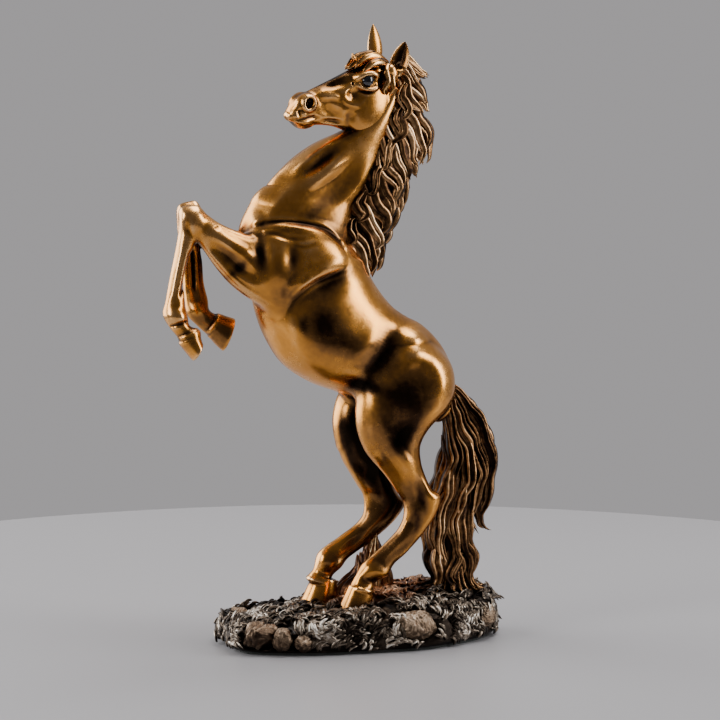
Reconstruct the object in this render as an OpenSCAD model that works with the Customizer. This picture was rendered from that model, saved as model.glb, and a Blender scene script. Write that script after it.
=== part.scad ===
// Rearing horse statue: bronze castings pinned, brazed and bolted to a solid grass-and-stone base.
// Millimetres. +Z is up, the horse faces -X, its left side is -Y, and the felt rests on z = 0.

/* [Statue] */
// Height from the felt to the tip of the right ear
statue_h = 313; // [280:1:360]
// Thinnest wall of the hollow neck and trunk castings
wall = 4.5; // [4:0.5:5]
// Width of the core that leaves the neck and trunk hollow
core_w = 30; // [24:1:31]

/* [Base] */
// Length of the base
base_l = 147; // [140:1:165]
// Width of the base
base_w = 74; // [70:1:90]
// Thickness of the felt pad
felt_t = 1.5; // [1:0.5:2]
// Depth of the wells for the nuts, from the underside of the base casting
well_h = 6.5; // [6:0.5:8]

/* [Fixings] */
// Diameter of the studs that hold the hooves and the tail to the base
stud_d = 4; // [3:0.5:5]
// Diameter of the pins between castings
pin_d = 4; // [3:0.5:4.5]
// Radial clearance round a pin or stud
clearance = 0.1; // [0.05:0.05:0.15]
// Diameter of an inset glass eye
eye_d = 7.6; // [7:0.2:8]

/* [Detail] */
// Points round a large casting
big_n = 24; // [16:4:32]
// Points round a leg
leg_n = 18; // [12:2:24]

/* [Hidden] */

nominal_h = 313;                // every outline below is drawn at this height
nominal_base = [147, 74];       // and for a base of this length and width
k = statue_h / nominal_h;
bronze = "#a8703c";
patina = "#5a3d28";
steel = "#b9bcc0";
eye_glass = "#1c2028";
big = 600;                      // side of a cutting block

// ---- Outlines: [front or top x, z, back or bottom x, z, half width, egg] in mm, nominal size ----
// Egg above 0 narrows a section towards its first point and widens it towards its second.
neck_line = [
    [24, 283, 6, 268, 7, 0], [19, 266, -3, 262, 8.5, 0.1], [14.5, 254, -11, 259, 9.5, 0.15],
    [9, 241, -24, 252.5, 10.5, 0.15], [1.5, 228.5, -36.5, 243.5, 12, 0.15],
    [-4, 219, -45.5, 234.5, 13.5, 0.15], [-6, 210, -51.5, 225.5, 15, 0.15],
    [-3, 201, -56.5, 216, 17, 0.1], [2, 194, -59, 208, 18, 0]];

trunk_line = [
    [-5, 212, -54, 224, 12, 0], [-5, 203, -60, 211, 17, 0], [0, 196, -58, 197, 19.5, 0],
    [5, 189, -55.5, 183, 21, 0.05], [10, 181, -53, 170, 22.5, 0.1],
    [15, 174.5, -48, 156.5, 23.5, 0.12], [20, 169.5, -39, 143, 24, 0.12],
    [27, 165, -25, 133.5, 23, 0.08], [34, 161.5, -10, 128, 21, 0], [41, 155, 2, 124, 20, 0],
    [46, 148, 12, 118, 18.5, 0], [50, 139, 22, 113, 16, 0], [51.5, 130, 33, 111, 12.5, 0],
    [50.5, 122, 40, 112, 6, 0]];

thigh_line = [
    [18, 150, 34, 151, 4, 0], [10, 145, 42, 146, 9.5, 0], [3, 136, 48.5, 139.5, 12.5, 0],
    [0.5, 125, 50.5, 130, 13.5, 0], [-0.5, 115, 47.5, 118, 13.5, 0], [0.5, 106, 37.5, 107.5, 12.5, 0],
    [4, 97, 33.2, 99, 11, 0.1], [9, 90, 33.3, 91, 9.5, 0.15]];

shank_line = [
    [4, 97, 33.2, 99, 10.8, 0.1], [9, 90, 33.3, 91, 9.4, 0.15], [15, 82.5, 35.5, 83.5, 7.8, 0.2],
    [20.5, 75.5, 39, 76.5, 6.4, 0.2], [24.5, 69.5, 44.2, 71.5, 6.2, 0.1], [25.6, 63, 41.5, 62.5, 5.6, 0],
    [22.5, 56.5, 35.5, 54, 4.7, 0], [14.5, 48.5, 26, 43.5, 4.1, 0], [8, 43, 20, 38.5, 4.2, 0],
    [3, 38.5, 16, 33, 5.2, 0], [-0.5, 33, 10.5, 29.5, 4.7, 0], [-3.5, 28, 8, 25, 5.4, 0]];

hind_hoof_line = [
    [-2, 31, 8.5, 28, 4.4, 0], [-4.4, 27.4, 8.6, 24.2, 6.2, 0], [-5.6, 24.8, 8.6, 21.6, 6.3, 0],
    [-11.6, 12.2, 8.3, 11.2, 7.8, 0]];

right_shank_line = [
    [-9, 95, 19, 96, 10.4, 0.1], [-4.5, 87.5, 17.5, 88, 9, 0.15], [0, 80, 19, 80, 7.5, 0.2],
    [3.4, 75, 22, 74.5, 6.4, 0.2], [4.2, 69.5, 25.5, 70, 6.2, 0.1], [2.2, 63.5, 20.5, 62, 5.6, 0],
    [-3, 58.3, 11.5, 54, 4.7, 0], [-11, 53, 1.5, 47, 4.1, 0], [-16, 50, -5, 42.5, 4.2, 0],
    [-20.5, 46, -8.5, 38.5, 5.2, 0], [-23, 39, -12.5, 35, 4.7, 0], [-26.5, 34, -15, 31, 5.4, 0]];

right_thigh_line = [
    [12, 152, 30, 153, 4, 0], [4, 146, 38, 147, 9.5, 0], [-3, 138, 42, 141, 12.5, 0],
    [-9, 128, 41, 130, 13.5, 0], [-12.8, 116, 33.5, 118, 13.4, 0], [-12.3, 105.5, 24.5, 106.5, 12.2, 0],
    [-9, 95, 19, 96, 10.5, 0.1], [-4.5, 87.5, 17.5, 88, 9.1, 0.15]];

forearm_line = [
    [-33, 203, -33, 174, 5, 0], [-43, 205, -42, 170.5, 9, 0], [-52, 206, -52, 174, 9.6, 0],
    [-60.5, 209.5, -65, 183, 8.8, 0], [-67, 212, -73, 192, 7.4, 0], [-73, 215, -79, 200, 6.2, 0],
    [-78.5, 219, -84, 206, 5.6, 0], [-84, 223, -87, 209, 5.6, 0], [-89.5, 222.5, -88, 210.5, 5.2, 0]];

left_cannon_line = [
    [-84, 222.2, -82.5, 207, 4.6, 0], [-90.5, 220.5, -84, 205, 5.4, 0], [-92, 212, -86, 200, 4.9, 0],
    [-94, 201, -88, 193, 4.2, 0], [-97, 187, -89.7, 183, 3.9, 0],
    [-99, 176.5, -89.5, 174.5, 4.3, 0], [-100.4, 169.8, -88.2, 167.5, 5.2, 0],
    [-97.6, 164, -87.2, 164.2, 4.6, 0], [-93.8, 159.2, -84.4, 162.6, 4.6, 0],
    [-91.8, 156.4, -82.2, 161.6, 5.3, 0]];

left_fore_hoof_line = [
    [-92.6, 157.6, -84.4, 162.4, 4.2, 0], [-92.4, 155.4, -82.2, 160.6, 6, 0],
    [-90.8, 153, -81.6, 159, 6.1, 0], [-86, 146.8, -81, 155.4, 7, 0]];

right_cannon_line = [
    [-86, 226, -81, 210, 4.6, 0], [-92.8, 223.5, -82.2, 206, 5.4, 0], [-93.4, 214, -82.4, 201.5, 4.9, 0],
    [-92.4, 203, -81, 196, 4.3, 0], [-90.8, 188, -80.2, 185, 4.1, 0], [-90, 177, -78.2, 176.5, 4.4, 0],
    [-88.6, 168.6, -77.6, 171.6, 5.2, 0], [-84, 163.4, -75.6, 169.6, 4.6, 0],
    [-79.4, 159.2, -73.4, 168.8, 4.9, 0], [-77.4, 157.4, -71.6, 168.4, 5.3, 0]];

right_fore_hoof_line = [
    [-79, 158.6, -73.6, 168.6, 4.2, 0], [-77.2, 156.6, -71, 168.6, 6, 0],
    [-75.4, 154.6, -69.4, 168, 6.1, 0], [-71, 150.2, -64.8, 166.6, 7, 0]];

// The head before it is turned
head_line = [
    [17, 288, 17, 272, 4, 0], [13, 293.5, 14, 267, 6.6, 0], [7.2, 295, 8, 262, 7.6, -0.15],
    [-0.7, 293.5, 0.5, 260, 8, -0.25], [-8.1, 290, -7, 261.8, 7, -0.2],
    [-15.6, 286.4, -14, 263.4, 5.9, -0.15], [-23.2, 282.8, -20.5, 263.6, 5, -0.05],
    [-29.8, 279.6, -26.5, 263, 4.9, 0], [-35.4, 276.4, -31, 261.4, 5.2, 0],
    [-39.2, 272.8, -35.6, 261.8, 4.6, 0], [-41.2, 269, -39, 264.6, 3, 0]];

shoulder_line = [
    [-12, 203, -10, 198, 3, 0], [-18, 208, -13, 192, 6, 0], [-28, 211.5, -21, 184, 9, 0],
    [-39, 213, -31, 175.5, 10, 0], [-50, 210, -43, 176, 9.5, 0], [-57, 206, -52, 186, 6, 0]];

// ---- Where things sit, nominal size ----
left_hind_at = [-3.5, -12.5, 2.5];
right_hind_at = [3.5, 12.5, -2.5];
right_hoof_shift = [-19.8, 0, 6.5];
left_fore_at = [-1.5, -12.5, 0];
right_fore_at = [3.5, 12.5, -1];
shoulder_y = 12;
neck_seam = [[-61, 211], [-2, 201]];       // seams are lines in the XZ plane
foreleg_seam = [[-54.5, 176], [-61.5, 209.5]];
mane_seams = [[[10, 258], [40, 240]], [[-8, 218], [22, 204]]];
hind_seam_z = 106;

// The head is drawn facing -X, then tilted and turned to the left about a pivot in the poll
head_pivot = [12, 0, 272];
head_turn = 15;
head_tilt = 8;
head_pin_top = [13, 0, 280];
head_pin_l = 27;
head_pin_turn = 200;            // the pin runs down and forward into the neck
mouth = [[-39.5, 0, 266], [20, 16, 0.9], 20];    // the parting between the lips: middle, size, slope
peg_d = 2.4;                    // an ear's peg
peg_l = 6;
eye_at = [-0.2, 6.7, 286];
nostril_at = [-32, 5.6, 274];
left_ear_at = [15.5, -5.6, 291];
right_ear_at = [9.4, 5, 294];

// Pins between castings: [middle, direction, length]
foreleg_pin_list = [
    [[-56, 0, 193] + left_fore_at, [-0.86, 0, 0.5], 22],
    [[-56, 0, 193] + right_fore_at, [-0.86, 0, 0.5], 22]];
hind_pin_list = [
    [[19, 0, 106] + left_hind_at, [0, 0, 1], 22], [[6.5, 0, 106] + right_hind_at, [0, 0, 1], 22]];
tail_pin_list = [[[49.5, 0, 123], [0.7, 0, -0.5], 12]];

// Studs under the left hoof, the right hoof and the tail: [x, y, top]
stud_list = [[-3.5, -12.5, 28], [-17, 12.5, 30], [52, 0, 36]];
nut_h = 3.2;
nut_across = 7;
washer_t = 0.8;
washer_d = 9;
stud_end = 1;                  // thread left proud of a nut
washer_gap = 0.3;              // how much wider than the stud a washer's hole is
nut_gap = 0.1;                 // and a nut's
well_d = 11;

// ---- Hair, stones and grass, nominal size ----
// Forelock: [points, width, thickness], drawn on the head before it turns
forelock_locks = [
    [[[12, -1, 294], [6, -3, 297], [-1, -5.5, 295.5], [-5, -7, 292]], 2.2, 2],
    [[[12, 0, 295], [5, -1, 298.5], [-2, -1, 298], [-6, 0, 301.5]], 2.4, 2.1],
    [[[12, 1, 295], [4, 2.5, 297.5], [-4, 3.5, 295.5], [-10, 3, 293]], 2.4, 2],
    [[[11, 0, 295], [3, 0.5, 297.5], [-5, 1.5, 295], [-12, 1, 291]], 2.4, 2]];

mane_line = [
    [20, 297, 27, 297, 3, 0], [20, 289, 31.5, 286.5, 5, 0], [18, 277, 33, 274, 6, 0],
    [16, 266, 33.5, 262, 6.5, 0], [13, 254, 32, 249, 7, 0], [9, 243, 28, 237, 7.5, 0],
    [4, 232, 23, 226, 8, 0], [-2, 221, 19.5, 215, 8, 0], [-5, 211, 16, 205, 8, 0],
    [-5, 202, 12, 196, 7, 0], [-1, 194, 9.5, 188, 5, 0]];

// Mane locks: [root, tip, y, width]
mane_bow = 3;
mane_locks = [
    [[21, 291], [38.3, 287.5], 0, 2.2], [[22, 288], [35.5, 275], -2, 2.6], [[22, 284], [37.5, 266], 1, 3],
    [[20, 278], [35.8, 257], -2, 3], [[19, 272], [36.8, 245], 2, 3.2], [[17, 266], [32.5, 241], -3, 3.2],
    [[15.5, 260], [28.5, 237], 4, 3.2], [[14, 254], [25.5, 230], -3, 3.2], [[11, 248], [22.5, 223], 3, 3.2],
    [[8, 240], [20, 215.5], -4, 3.2], [[5, 232], [17.5, 207], 4, 3.2], [[1, 225], [14.5, 200], -2, 3.2],
    [[-2, 218], [11.8, 192], -4, 3], [[-4, 210], [10.6, 185], 3, 3], [[-3, 204], [7.6, 183], -2, 2.8]];

tail_line = [
    [45, 127, 52, 131, 4, 0], [46.5, 116, 59, 121, 5.5, 0], [49.5, 104, 66, 108, 7, 0],
    [49.5, 94, 69.5, 96, 8, 0], [47, 84, 70, 84, 8.5, 0], [43.5, 72, 68, 74, 8.5, 0],
    [40, 60, 66, 62, 8.5, 0], [38.5, 48, 62.5, 50, 8.5, 0], [40, 38, 61, 40, 8.5, 0],
    [42, 30, 62, 32, 9, 0], [41, 22, 66, 22, 10, 0]];
tail_lock_w = 3.2;
tail_locks = [
    [[48, 0, 127], [56, 0, 122], [65, 0, 108], [69, 0, 92], [68.5, 0, 76], [66.5, 0, 62], [69, 0, 54]],
    [[47, -3, 122], [54, -5, 112], [60, -7, 96], [60, -8, 78], [58, -8, 60], [60, -7, 44], [66, -5, 28]],
    [[46, -2, 120], [50, -5, 106], [52, -7, 90], [48, -8, 72], [44, -8, 54], [43, -8, 38], [43, -8, 25]],
    [[48, 2, 124], [55, 5, 110], [61, 7, 94], [61, 8, 76], [58, 8, 58], [57, 8, 42], [60, 8, 27]],
    [[46, 2, 120], [50, 5, 104], [51, 7, 88], [47, 8, 70], [44, 8, 54], [42, 8, 38], [42, 7, 26]]];

// Stones set in the grass: [x, y, z, length, depth, height, turn], as half sizes
stone_list = [
    [-56, -21, 9, 10, 8, 8, 10], [-46, -27, 8, 6, 6, 6.5, 0], [-35, -31, 7, 6.5, 5, 5, 15],
    [21, -29, 11, 14, 9, 8.5, -6], [62, -12, 12, 7, 8, 8, 30], [-60, 16, 10, 8, 8, 7, 60]];

clump_line = [
    [-4, 16, 20, 16, 5.5, 0], [0, 32, 19.5, 33, 5, 0], [7, 43, 19.5, 45, 4, 0],
    [13, 52, 19.5, 55, 2.5, 0], [17, 58, 19.5, 60, 1, 0]];
clump_y = 14;
clump_blades = [for (i = [1:4]) let (x = 4 * i)
    [[x - 3, clump_y - 3 + 1.5 * (i % 3), 16], [x - 1, clump_y - 4 + 2 * (i % 3), 30],
     [x + 2, clump_y - 3 + 2 * (i % 3), 38 + 4 * i], [x + 5, clump_y - 2 + (i % 3), 44 + 4 * i]]];

// ---- Curves and lofts ----
function blend4(a, b, c, d, t) =
    0.5 * (2 * b + (c - a) * t + (2 * a - 5 * b + 4 * c - d) * t * t + (3 * b - a - 3 * c + d) * t * t * t);

// A Catmull-Rom curve through the rows of p, with n steps between two rows
function smooth(p, n) = let (m = len(p) - 1) concat(
    [for (i = [0:m - 1]) for (j = [0:n - 1])
        blend4(p[max(i - 1, 0)], p[i], p[i + 1], p[min(i + 2, m)], j / n)], [p[m]]);

// Points round one row of an outline; inset and w_max shrink it for the hollow inside
function section(s, n, inset = 0, w_max = 1000) =
    let (c = [s[0] + s[2], 0, s[1] + s[3]] / 2, v = [s[0] - s[2], 0, s[1] - s[3]] / 2,
         reach = max(norm(v) - inset, 1) / norm(v), w = min(max(s[4] - inset, 1), w_max))
    [for (i = [0:n - 1]) let (a = 360 * i / n)
        c + v * reach * cos(a) + [0, w * sin(a) * (1 - s[5] * cos(a)), 0]];

function skin_faces(rings, n) = concat(
    [[for (i = [0:n - 1]) i], [for (i = [n - 1:-1:0]) (rings - 1) * n + i]],
    [for (r = [0:rings - 2]) for (i = [0:n - 1]) for (half = [0, 1])
        let (a = r * n + i, b = r * n + (i + 1) % n) half == 0 ? [a, a + n, b] : [b, a + n, b + n]]);

// A closed skin through rings of n points, whichever way the rings run
module skin(rings, n) {
    ring = rings[0];
    c0 = (ring[0] + ring[floor(n / 2)]) / 2;
    c1 = (rings[1][0] + rings[1][floor(n / 2)]) / 2;
    outward = cross(ring[0] - c0, ring[floor(n / 4)] - c0) * (c1 - c0) > 0;
    faces = skin_faces(len(rings), n);
    polyhedron([for (r = rings) each r],
               outward ? faces : [for (f = faces) [for (i = [len(f) - 1:-1:0]) f[i]]], convexity = 8);
}

module loft(line, n = leg_n, steps = 2, at = [0, 0, 0], inset = 0, w_max = 1000) {
    translate(k * at)
        skin([for (s = smooth(line, steps)) k * section(s, n, inset / k, w_max / k)], n);
}

// A lock of hair follows points and tapers to its tip
function lock_ring(p, dir, w, t, n) =
    let (side = cross(dir, [0, 1, 0]), a = side / norm(side), b = cross(a, dir))
    [for (i = [0:n - 1]) let (q = 360 * i / n) p + a * w * cos(q) + b * t * sin(q)];

// Share of a lock's full width, from its root at u = 0 to its tip at u = 1
function lock_taper(u) = 0.9 * (0.6 + u) * (1 - 0.9 * pow(u, 3));

module lock(points, w, t, n = 8, steps = 3) {
    path = smooth(points, steps);
    m = len(path) - 1;
    skin([for (i = [0:m]) let (d = path[min(i + 1, m)] - path[max(i - 1, 0)], u = i / m)
        k * lock_ring(path[i], d / norm(d), w * lock_taper(u), t * lock_taper(u), n)], n);
}

// Sculpted castings are joined and cut as one mesh, which a resize() to no new size asks for
module casting() { resize([0, 0, 0]) children(); }

// The space above a line in the XZ plane, going from its first point to its second
module above(seam) {
    way = seam[1] - seam[0];
    translate(k * [seam[0][0], 0, seam[0][1]]) rotate([0, -atan2(way[1], way[0]), 0])
        translate([-big / 2, -big / 2, 0]) cube(big);
}

// The space below a height
module below(z) { translate([-big / 2, -big / 2, z - big]) cube(big); }

// ---- Trunk and neck ----
module trunk_mass() { loft(trunk_line, big_n); }
module neck_mass() { loft(neck_line, big_n); }
module shoulders() { for (s = [-1, 1]) loft(shoulder_line, at = [0, s * shoulder_y, 0]); }
module left_thigh() { loft(thigh_line, at = left_hind_at); }
module right_thigh() { loft(right_thigh_line, at = right_hind_at); }

module forearms() {
    loft(forearm_line, at = left_fore_at);
    loft(forearm_line, at = right_fore_at);
}

// The hollow that the core leaves, running from the loins up into the neck
neck_core_line = [for (i = [3:8]) neck_line[i]];
trunk_core_line = [for (i = [1:9]) trunk_line[i]];
module core() {
    loft(neck_core_line, 16, inset = wall, w_max = core_w / 2);
    loft(trunk_core_line, 16, inset = wall, w_max = core_w / 2);
}

module trunk() {
    color(bronze) difference() {
        casting() difference() {
            union() {
                trunk_mass();
                neck_mass();
                left_thigh();
                right_thigh();
                shoulders();
                difference() {
                    forearms();
                    above(foreleg_seam);
                }
            }
            above(neck_seam);
            below(k * hind_seam_z);
            core();
        }
        pins(foreleg_pin_list, clearance);
        pins(hind_pin_list, clearance);
        pins(tail_pin_list, clearance);
    }
}

module neck() {
    color(bronze) difference() {
        casting() difference() {
            intersection() {
                neck_mass();
                above(neck_seam);
            }
            head_place() head_mass();
            core();
        }
        head_pin_at(clearance);
    }
}

// A spigot ring bridges the seam between trunk and neck
ring_reach = 7;
ring_t = 2.5;
module neck_ring() {
    color(bronze) casting() difference() {
        loft(neck_core_line, 16, inset = wall + clearance, w_max = core_w / 2 - clearance);
        loft(neck_core_line, 16, inset = wall + ring_t, w_max = core_w / 2 - ring_t);
        above([for (p = neck_seam) p + [0, ring_reach]]);
        mirror([0, 0, 1]) above([for (p = neck_seam) [p[0], ring_reach - p[1]]]);
    }
}

// ---- Head ----
module head_place() {
    translate(k * head_pivot) rotate([0, 0, head_turn]) rotate([head_tilt, 0, 0])
        translate(-k * head_pivot) children();
}

module ball(at, size, fn = 16) { translate(k * at) scale(k * size) sphere(1, $fn = fn); }
function mirrored(p, side) = [p[0], side * p[1], p[2]];

module head_mass() {
    loft(head_line, 20);
    for (s = [-1, 1]) {
        ball([1, s * 4.4, 273], [11, 3.6, 11], 20);             // cheek
        ball(mirrored(eye_at, s) + [0, -s * 1.6, 0.6], [6, 3.6, 4.8]);   // brow
        ball(mirrored(nostril_at, s) - [0, s * 2.6, 0], [4.2, 2.8, 4.6]);
    }
}

module head() {
    color(bronze) difference() {
        casting() head_place() difference() {
            head_mass();
            for (s = [-1, 1]) ball(mirrored(nostril_at, s), [2.4, 2, 3], 12);
            translate(k * mouth[0]) rotate([0, mouth[2], 0]) cube(k * mouth[1], center = true);
        }
        for (s = [-1, 1]) eyeball(s, clearance);
        head_place() {
            ear_peg(left_ear_at, clearance);
            ear_peg(right_ear_at, clearance);
        }
        head_pin_at(clearance);
    }
}

module eyeball(side, grow = 0) {
    head_place() translate(k * mirrored(eye_at, side)) sphere(d = eye_d + 2 * grow, $fn = 32);
}
module left_eye() { color(eye_glass) eyeball(-1); }
module right_eye() { color(eye_glass) eyeball(1); }

module head_pin_at(grow = 0) {
    translate(k * head_pin_top) rotate([0, head_pin_turn, 0])
        cylinder(d = pin_d + 2 * grow, h = head_pin_l, $fn = 32);
}
module head_pin() { color(steel) head_pin_at(); }

module ear_peg(at, grow = 0) {
    translate(k * at - [0, 0, peg_l - 2]) cylinder(d = peg_d + 2 * grow, h = peg_l, $fn = 24);
}

// A cupped, pointed leaf on a peg, turned about the peg and leaned
ear_steps = [0, 0.12, 0.3, 0.5, 0.7, 0.85, 0.95, 1];
function ear_half_width(u) = 0.5 + 3.4 * sin(176 * pow(u, 0.75) + 3);
module ear_leaf(at, turn, lean, h) {
    translate(k * at) rotate([0, 0, turn]) rotate([0, lean, 0]) difference() {
        skin([for (u = ear_steps) let (w = ear_half_width(u))
            [for (a = [0:30:330]) k * [w * cos(a) * 0.75 - 1.5 * u * (1 - u), w * sin(a), h * u]]], 12);
        ball([-2.6, 0, 0.52 * h], [2.2, 2.1, 0.4 * h], 14);
    }
}
module left_ear_shape() { ear_leaf(left_ear_at, 55, 28, 15); }
module right_ear_shape() { ear_leaf(right_ear_at, -10, -4, 18.5); }

module left_ear() {
    color(bronze) head_place() {
        casting() left_ear_shape();
        ear_peg(left_ear_at);
    }
}

module right_ear() {
    color(bronze) head_place() {
        casting() right_ear_shape();
        ear_peg(right_ear_at);
    }
}

module forelock() {
    color(patina) casting() head_place() difference() {
        for (h = forelock_locks) lock(h[0], h[1], h[2]);
        head_mass();
        left_ear_shape();
        right_ear_shape();
    }
}

// ---- Mane ----
// A lock falls from its root to its tip and bows away from the neck
module mane_lock(root, tip, y, w) {
    way = tip - root;
    bow = [-way[1], way[0]] / norm(way) * mane_bow;
    high = root + way * 0.3 + bow;
    low = root + way * 0.7 + bow;
    lock([[root[0], y * 0.4, root[1]], [high[0], y, high[1]], [low[0], y, low[1]],
          [tip[0], y * 0.6, tip[1]]], w, w * 0.7);
}

module mane_hair() {
    difference() {
        union() {
            loft(mane_line, 14);
            for (h = mane_locks) mane_lock(h[0], h[1], h[2], h[3]);
        }
        neck_mass();
        trunk_mass();
        shoulders();
        head_place() {
            head_mass();
            left_ear_shape();
            right_ear_shape();
        }
        forelock();
    }
}

module mane_upper() {
    color(patina) casting() intersection() {
        mane_hair();
        above(mane_seams[0]);
    }
}

module mane_middle() {
    color(patina) casting() difference() {
        intersection() {
            mane_hair();
            above(mane_seams[1]);
        }
        above(mane_seams[0]);
    }
}

module mane_lower() {
    color(patina) casting() difference() {
        mane_hair();
        above(mane_seams[1]);
    }
}

// ---- Legs ----
module foreleg(cannon, hoof, at) {
    color(bronze) difference() {
        casting() difference() {
            union() {
                intersection() {
                    loft(forearm_line, at = at);
                    above(foreleg_seam);
                }
                loft(cannon, 16, at = at);
                loft(hoof, 16, 1, at = at);
            }
            trunk_mass();
            neck_mass();
            shoulders();
        }
        pins(foreleg_pin_list, clearance);
    }
}
module left_foreleg() { foreleg(left_cannon_line, left_fore_hoof_line, left_fore_at); }
module right_foreleg() { foreleg(right_cannon_line, right_fore_hoof_line, right_fore_at); }

module left_hind_hoof() { loft(hind_hoof_line, 16, 1, at = left_hind_at); }
module right_hind_hoof() { loft(hind_hoof_line, 16, 1, at = right_hind_at + right_hoof_shift); }

module left_hind_leg() {
    color(bronze) difference() {
        casting() {
            intersection() {
                left_thigh();
                below(k * hind_seam_z);
            }
            loft(shank_line, 16, at = left_hind_at);
            left_hind_hoof();
        }
        pins(hind_pin_list, clearance);
        studs(clearance);
    }
}

module right_hind_leg() {
    color(bronze) difference() {
        casting() {
            intersection() {
                right_thigh();
                below(k * hind_seam_z);
            }
            loft(right_shank_line, 16, at = right_hind_at);
            right_hind_hoof();
        }
        pins(hind_pin_list, clearance);
        studs(clearance);
    }
}

// ---- Tail ----
module tail() {
    color(patina) difference() {
        casting() difference() {
            union() {
                loft(tail_line, 14);
                for (h = tail_locks) lock(h, tail_lock_w, tail_lock_w * 0.8, 8, 2);
            }
            trunk_mass();
            left_thigh();
            right_thigh();
            loft(shank_line, 16, at = left_hind_at);
            base_block();
        }
        pins(tail_pin_list, clearance);
        studs(clearance);
    }
}

// ---- Pins between castings ----
module pins(list, grow = 0) {
    for (p = list) translate(k * p[0]) rotate([0, atan2(p[1][0], p[1][2]), 0])
        cylinder(d = pin_d + 2 * grow, h = p[2], center = true, $fn = 32);
}
module foreleg_pins() { color(steel) pins(foreleg_pin_list); }
module hind_leg_pins() { color(steel) pins(hind_pin_list); }
module tail_pin() { color(steel) pins(tail_pin_list); }

// ---- Base ----
// Height of the ground, nominal size: a mound that is highest in front of the tail
function ground(x, y) = 12 + 13 * exp(-pow((x - 40) / 70, 2) - pow((y - 6) / 45, 2));

// The wavy oval of the base, shrunk by a share
function outline(a, share = 1) =
    let (wave = 1 + 0.03 * sin(3 * a + 40) + 0.025 * sin(5 * a + 100) + 0.012 * sin(9 * a),
         squash = 1 / pow(pow(abs(cos(a)), 2.5) + pow(abs(sin(a)), 2.5), 0.4))
    share * wave * squash / 2 * [base_l * cos(a), base_w * sin(a)];

base_n = 44;
function oval(share) = [for (i = [0:base_n - 1]) outline(360 * i / base_n, share)];
function flat_ring(share, z) = [for (p = oval(share)) [p[0], p[1], z]];
function ground_ring(share, rise) =
    [for (p = oval(share)) [p[0], p[1], k * rise * ground(p[0] / k, p[1] / k)]];

module base_block() {
    skin([flat_ring(0.97, felt_t), flat_ring(1, felt_t + 4), ground_ring(0.985, 0.72),
          ground_ring(0.94, 0.92), ground_ring(0.82, 1), ground_ring(0.6, 1),
          ground_ring(0.35, 1), ground_ring(0.12, 1)], base_n);
}

module base_casting() {
    color(patina) difference() {
        casting() difference() {
            base_block();
            stones();
            left_hind_hoof();
            right_hind_hoof();
        }
        for (s = stud_list) translate([k * s[0], k * s[1], felt_t - 1])
            cylinder(d = well_d, h = well_h + 1, $fn = 32);
        studs(clearance);
    }
}

module stone(s) {
    translate([s[0] * base_l / nominal_base[0], s[1] * base_w / nominal_base[1], s[2] * k])
        rotate([8, -6, s[6]])
        scale(k * [s[3], s[4], s[5]]) rotate([20, 35, 15]) sphere(0.94, $fn = 9);
}
module stones() {
    difference() {
        for (s = stone_list) stone(s);
        below(felt_t + 0.5);
    }
}
module base_stones() { color("#6d5a44") casting() stones(); }

// Tall grass that props the right hind cannon
module grass_clump() {
    color(patina) casting() difference() {
        union() {
            loft(clump_line, 12, at = [0, clump_y, 0]);
            for (h = clump_blades) lock(h, 1.6, 1.4, 7, 2);
        }
        loft(right_shank_line, 16, at = right_hind_at);
        right_hind_hoof();
        base_block();
    }
}

module felt_pad() { color("#2b2f2b") linear_extrude(felt_t) polygon(oval(0.93)); }

// ---- Studs through the base ----
stud_seat = felt_t + well_h;      // top of a well, where its washer bears
module studs(grow = 0) {
    bottom = stud_seat - washer_t - nut_h - stud_end;
    for (s = stud_list) translate([k * s[0], k * s[1], bottom])
        cylinder(d = stud_d + 2 * grow, h = k * s[2] - bottom, $fn = 32);
}
module base_studs() { color(steel) studs(); }

module stud_washers() {
    color(steel) for (s = stud_list) translate([k * s[0], k * s[1], stud_seat - washer_t])
        difference() {
            cylinder(d = washer_d, h = washer_t, $fn = 32);
            translate([0, 0, -1]) cylinder(d = stud_d + washer_gap, h = washer_t + 2, $fn = 32);
        }
}

module stud_nuts() {
    color(steel) for (s = stud_list) translate([k * s[0], k * s[1], stud_seat - washer_t - nut_h])
        difference() {
            cylinder(d = nut_across / cos(30), h = nut_h, $fn = 6);
            translate([0, 0, -1]) cylinder(d = stud_d + nut_gap, h = nut_h + 2, $fn = 32);
        }
}

trunk();
neck();
head();
left_ear();
right_ear();
left_eye();
right_eye();
forelock();
mane_upper();
mane_middle();
mane_lower();
left_foreleg();
right_foreleg();
left_hind_leg();
right_hind_leg();
tail();
base_casting();
base_stones();
grass_clump();
felt_pad();
neck_ring();
head_pin();
foreleg_pins();
hind_leg_pins();
tail_pin();
base_studs();
stud_washers();
stud_nuts();
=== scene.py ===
import math
import time

import bmesh
import bpy
import numpy as np
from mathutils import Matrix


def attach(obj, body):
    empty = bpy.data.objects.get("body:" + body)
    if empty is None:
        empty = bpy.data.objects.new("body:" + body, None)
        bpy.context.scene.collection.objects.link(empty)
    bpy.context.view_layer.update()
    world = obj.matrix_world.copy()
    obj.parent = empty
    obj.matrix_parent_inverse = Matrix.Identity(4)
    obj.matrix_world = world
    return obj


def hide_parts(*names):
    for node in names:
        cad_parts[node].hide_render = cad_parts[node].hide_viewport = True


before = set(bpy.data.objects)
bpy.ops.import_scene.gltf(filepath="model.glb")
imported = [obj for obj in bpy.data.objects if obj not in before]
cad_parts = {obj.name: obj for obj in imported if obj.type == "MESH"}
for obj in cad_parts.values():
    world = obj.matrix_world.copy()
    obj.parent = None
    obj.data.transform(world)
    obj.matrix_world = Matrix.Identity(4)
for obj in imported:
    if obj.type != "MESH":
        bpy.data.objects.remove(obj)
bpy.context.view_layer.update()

import openvdb
from mathutils import Matrix, Vector

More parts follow.
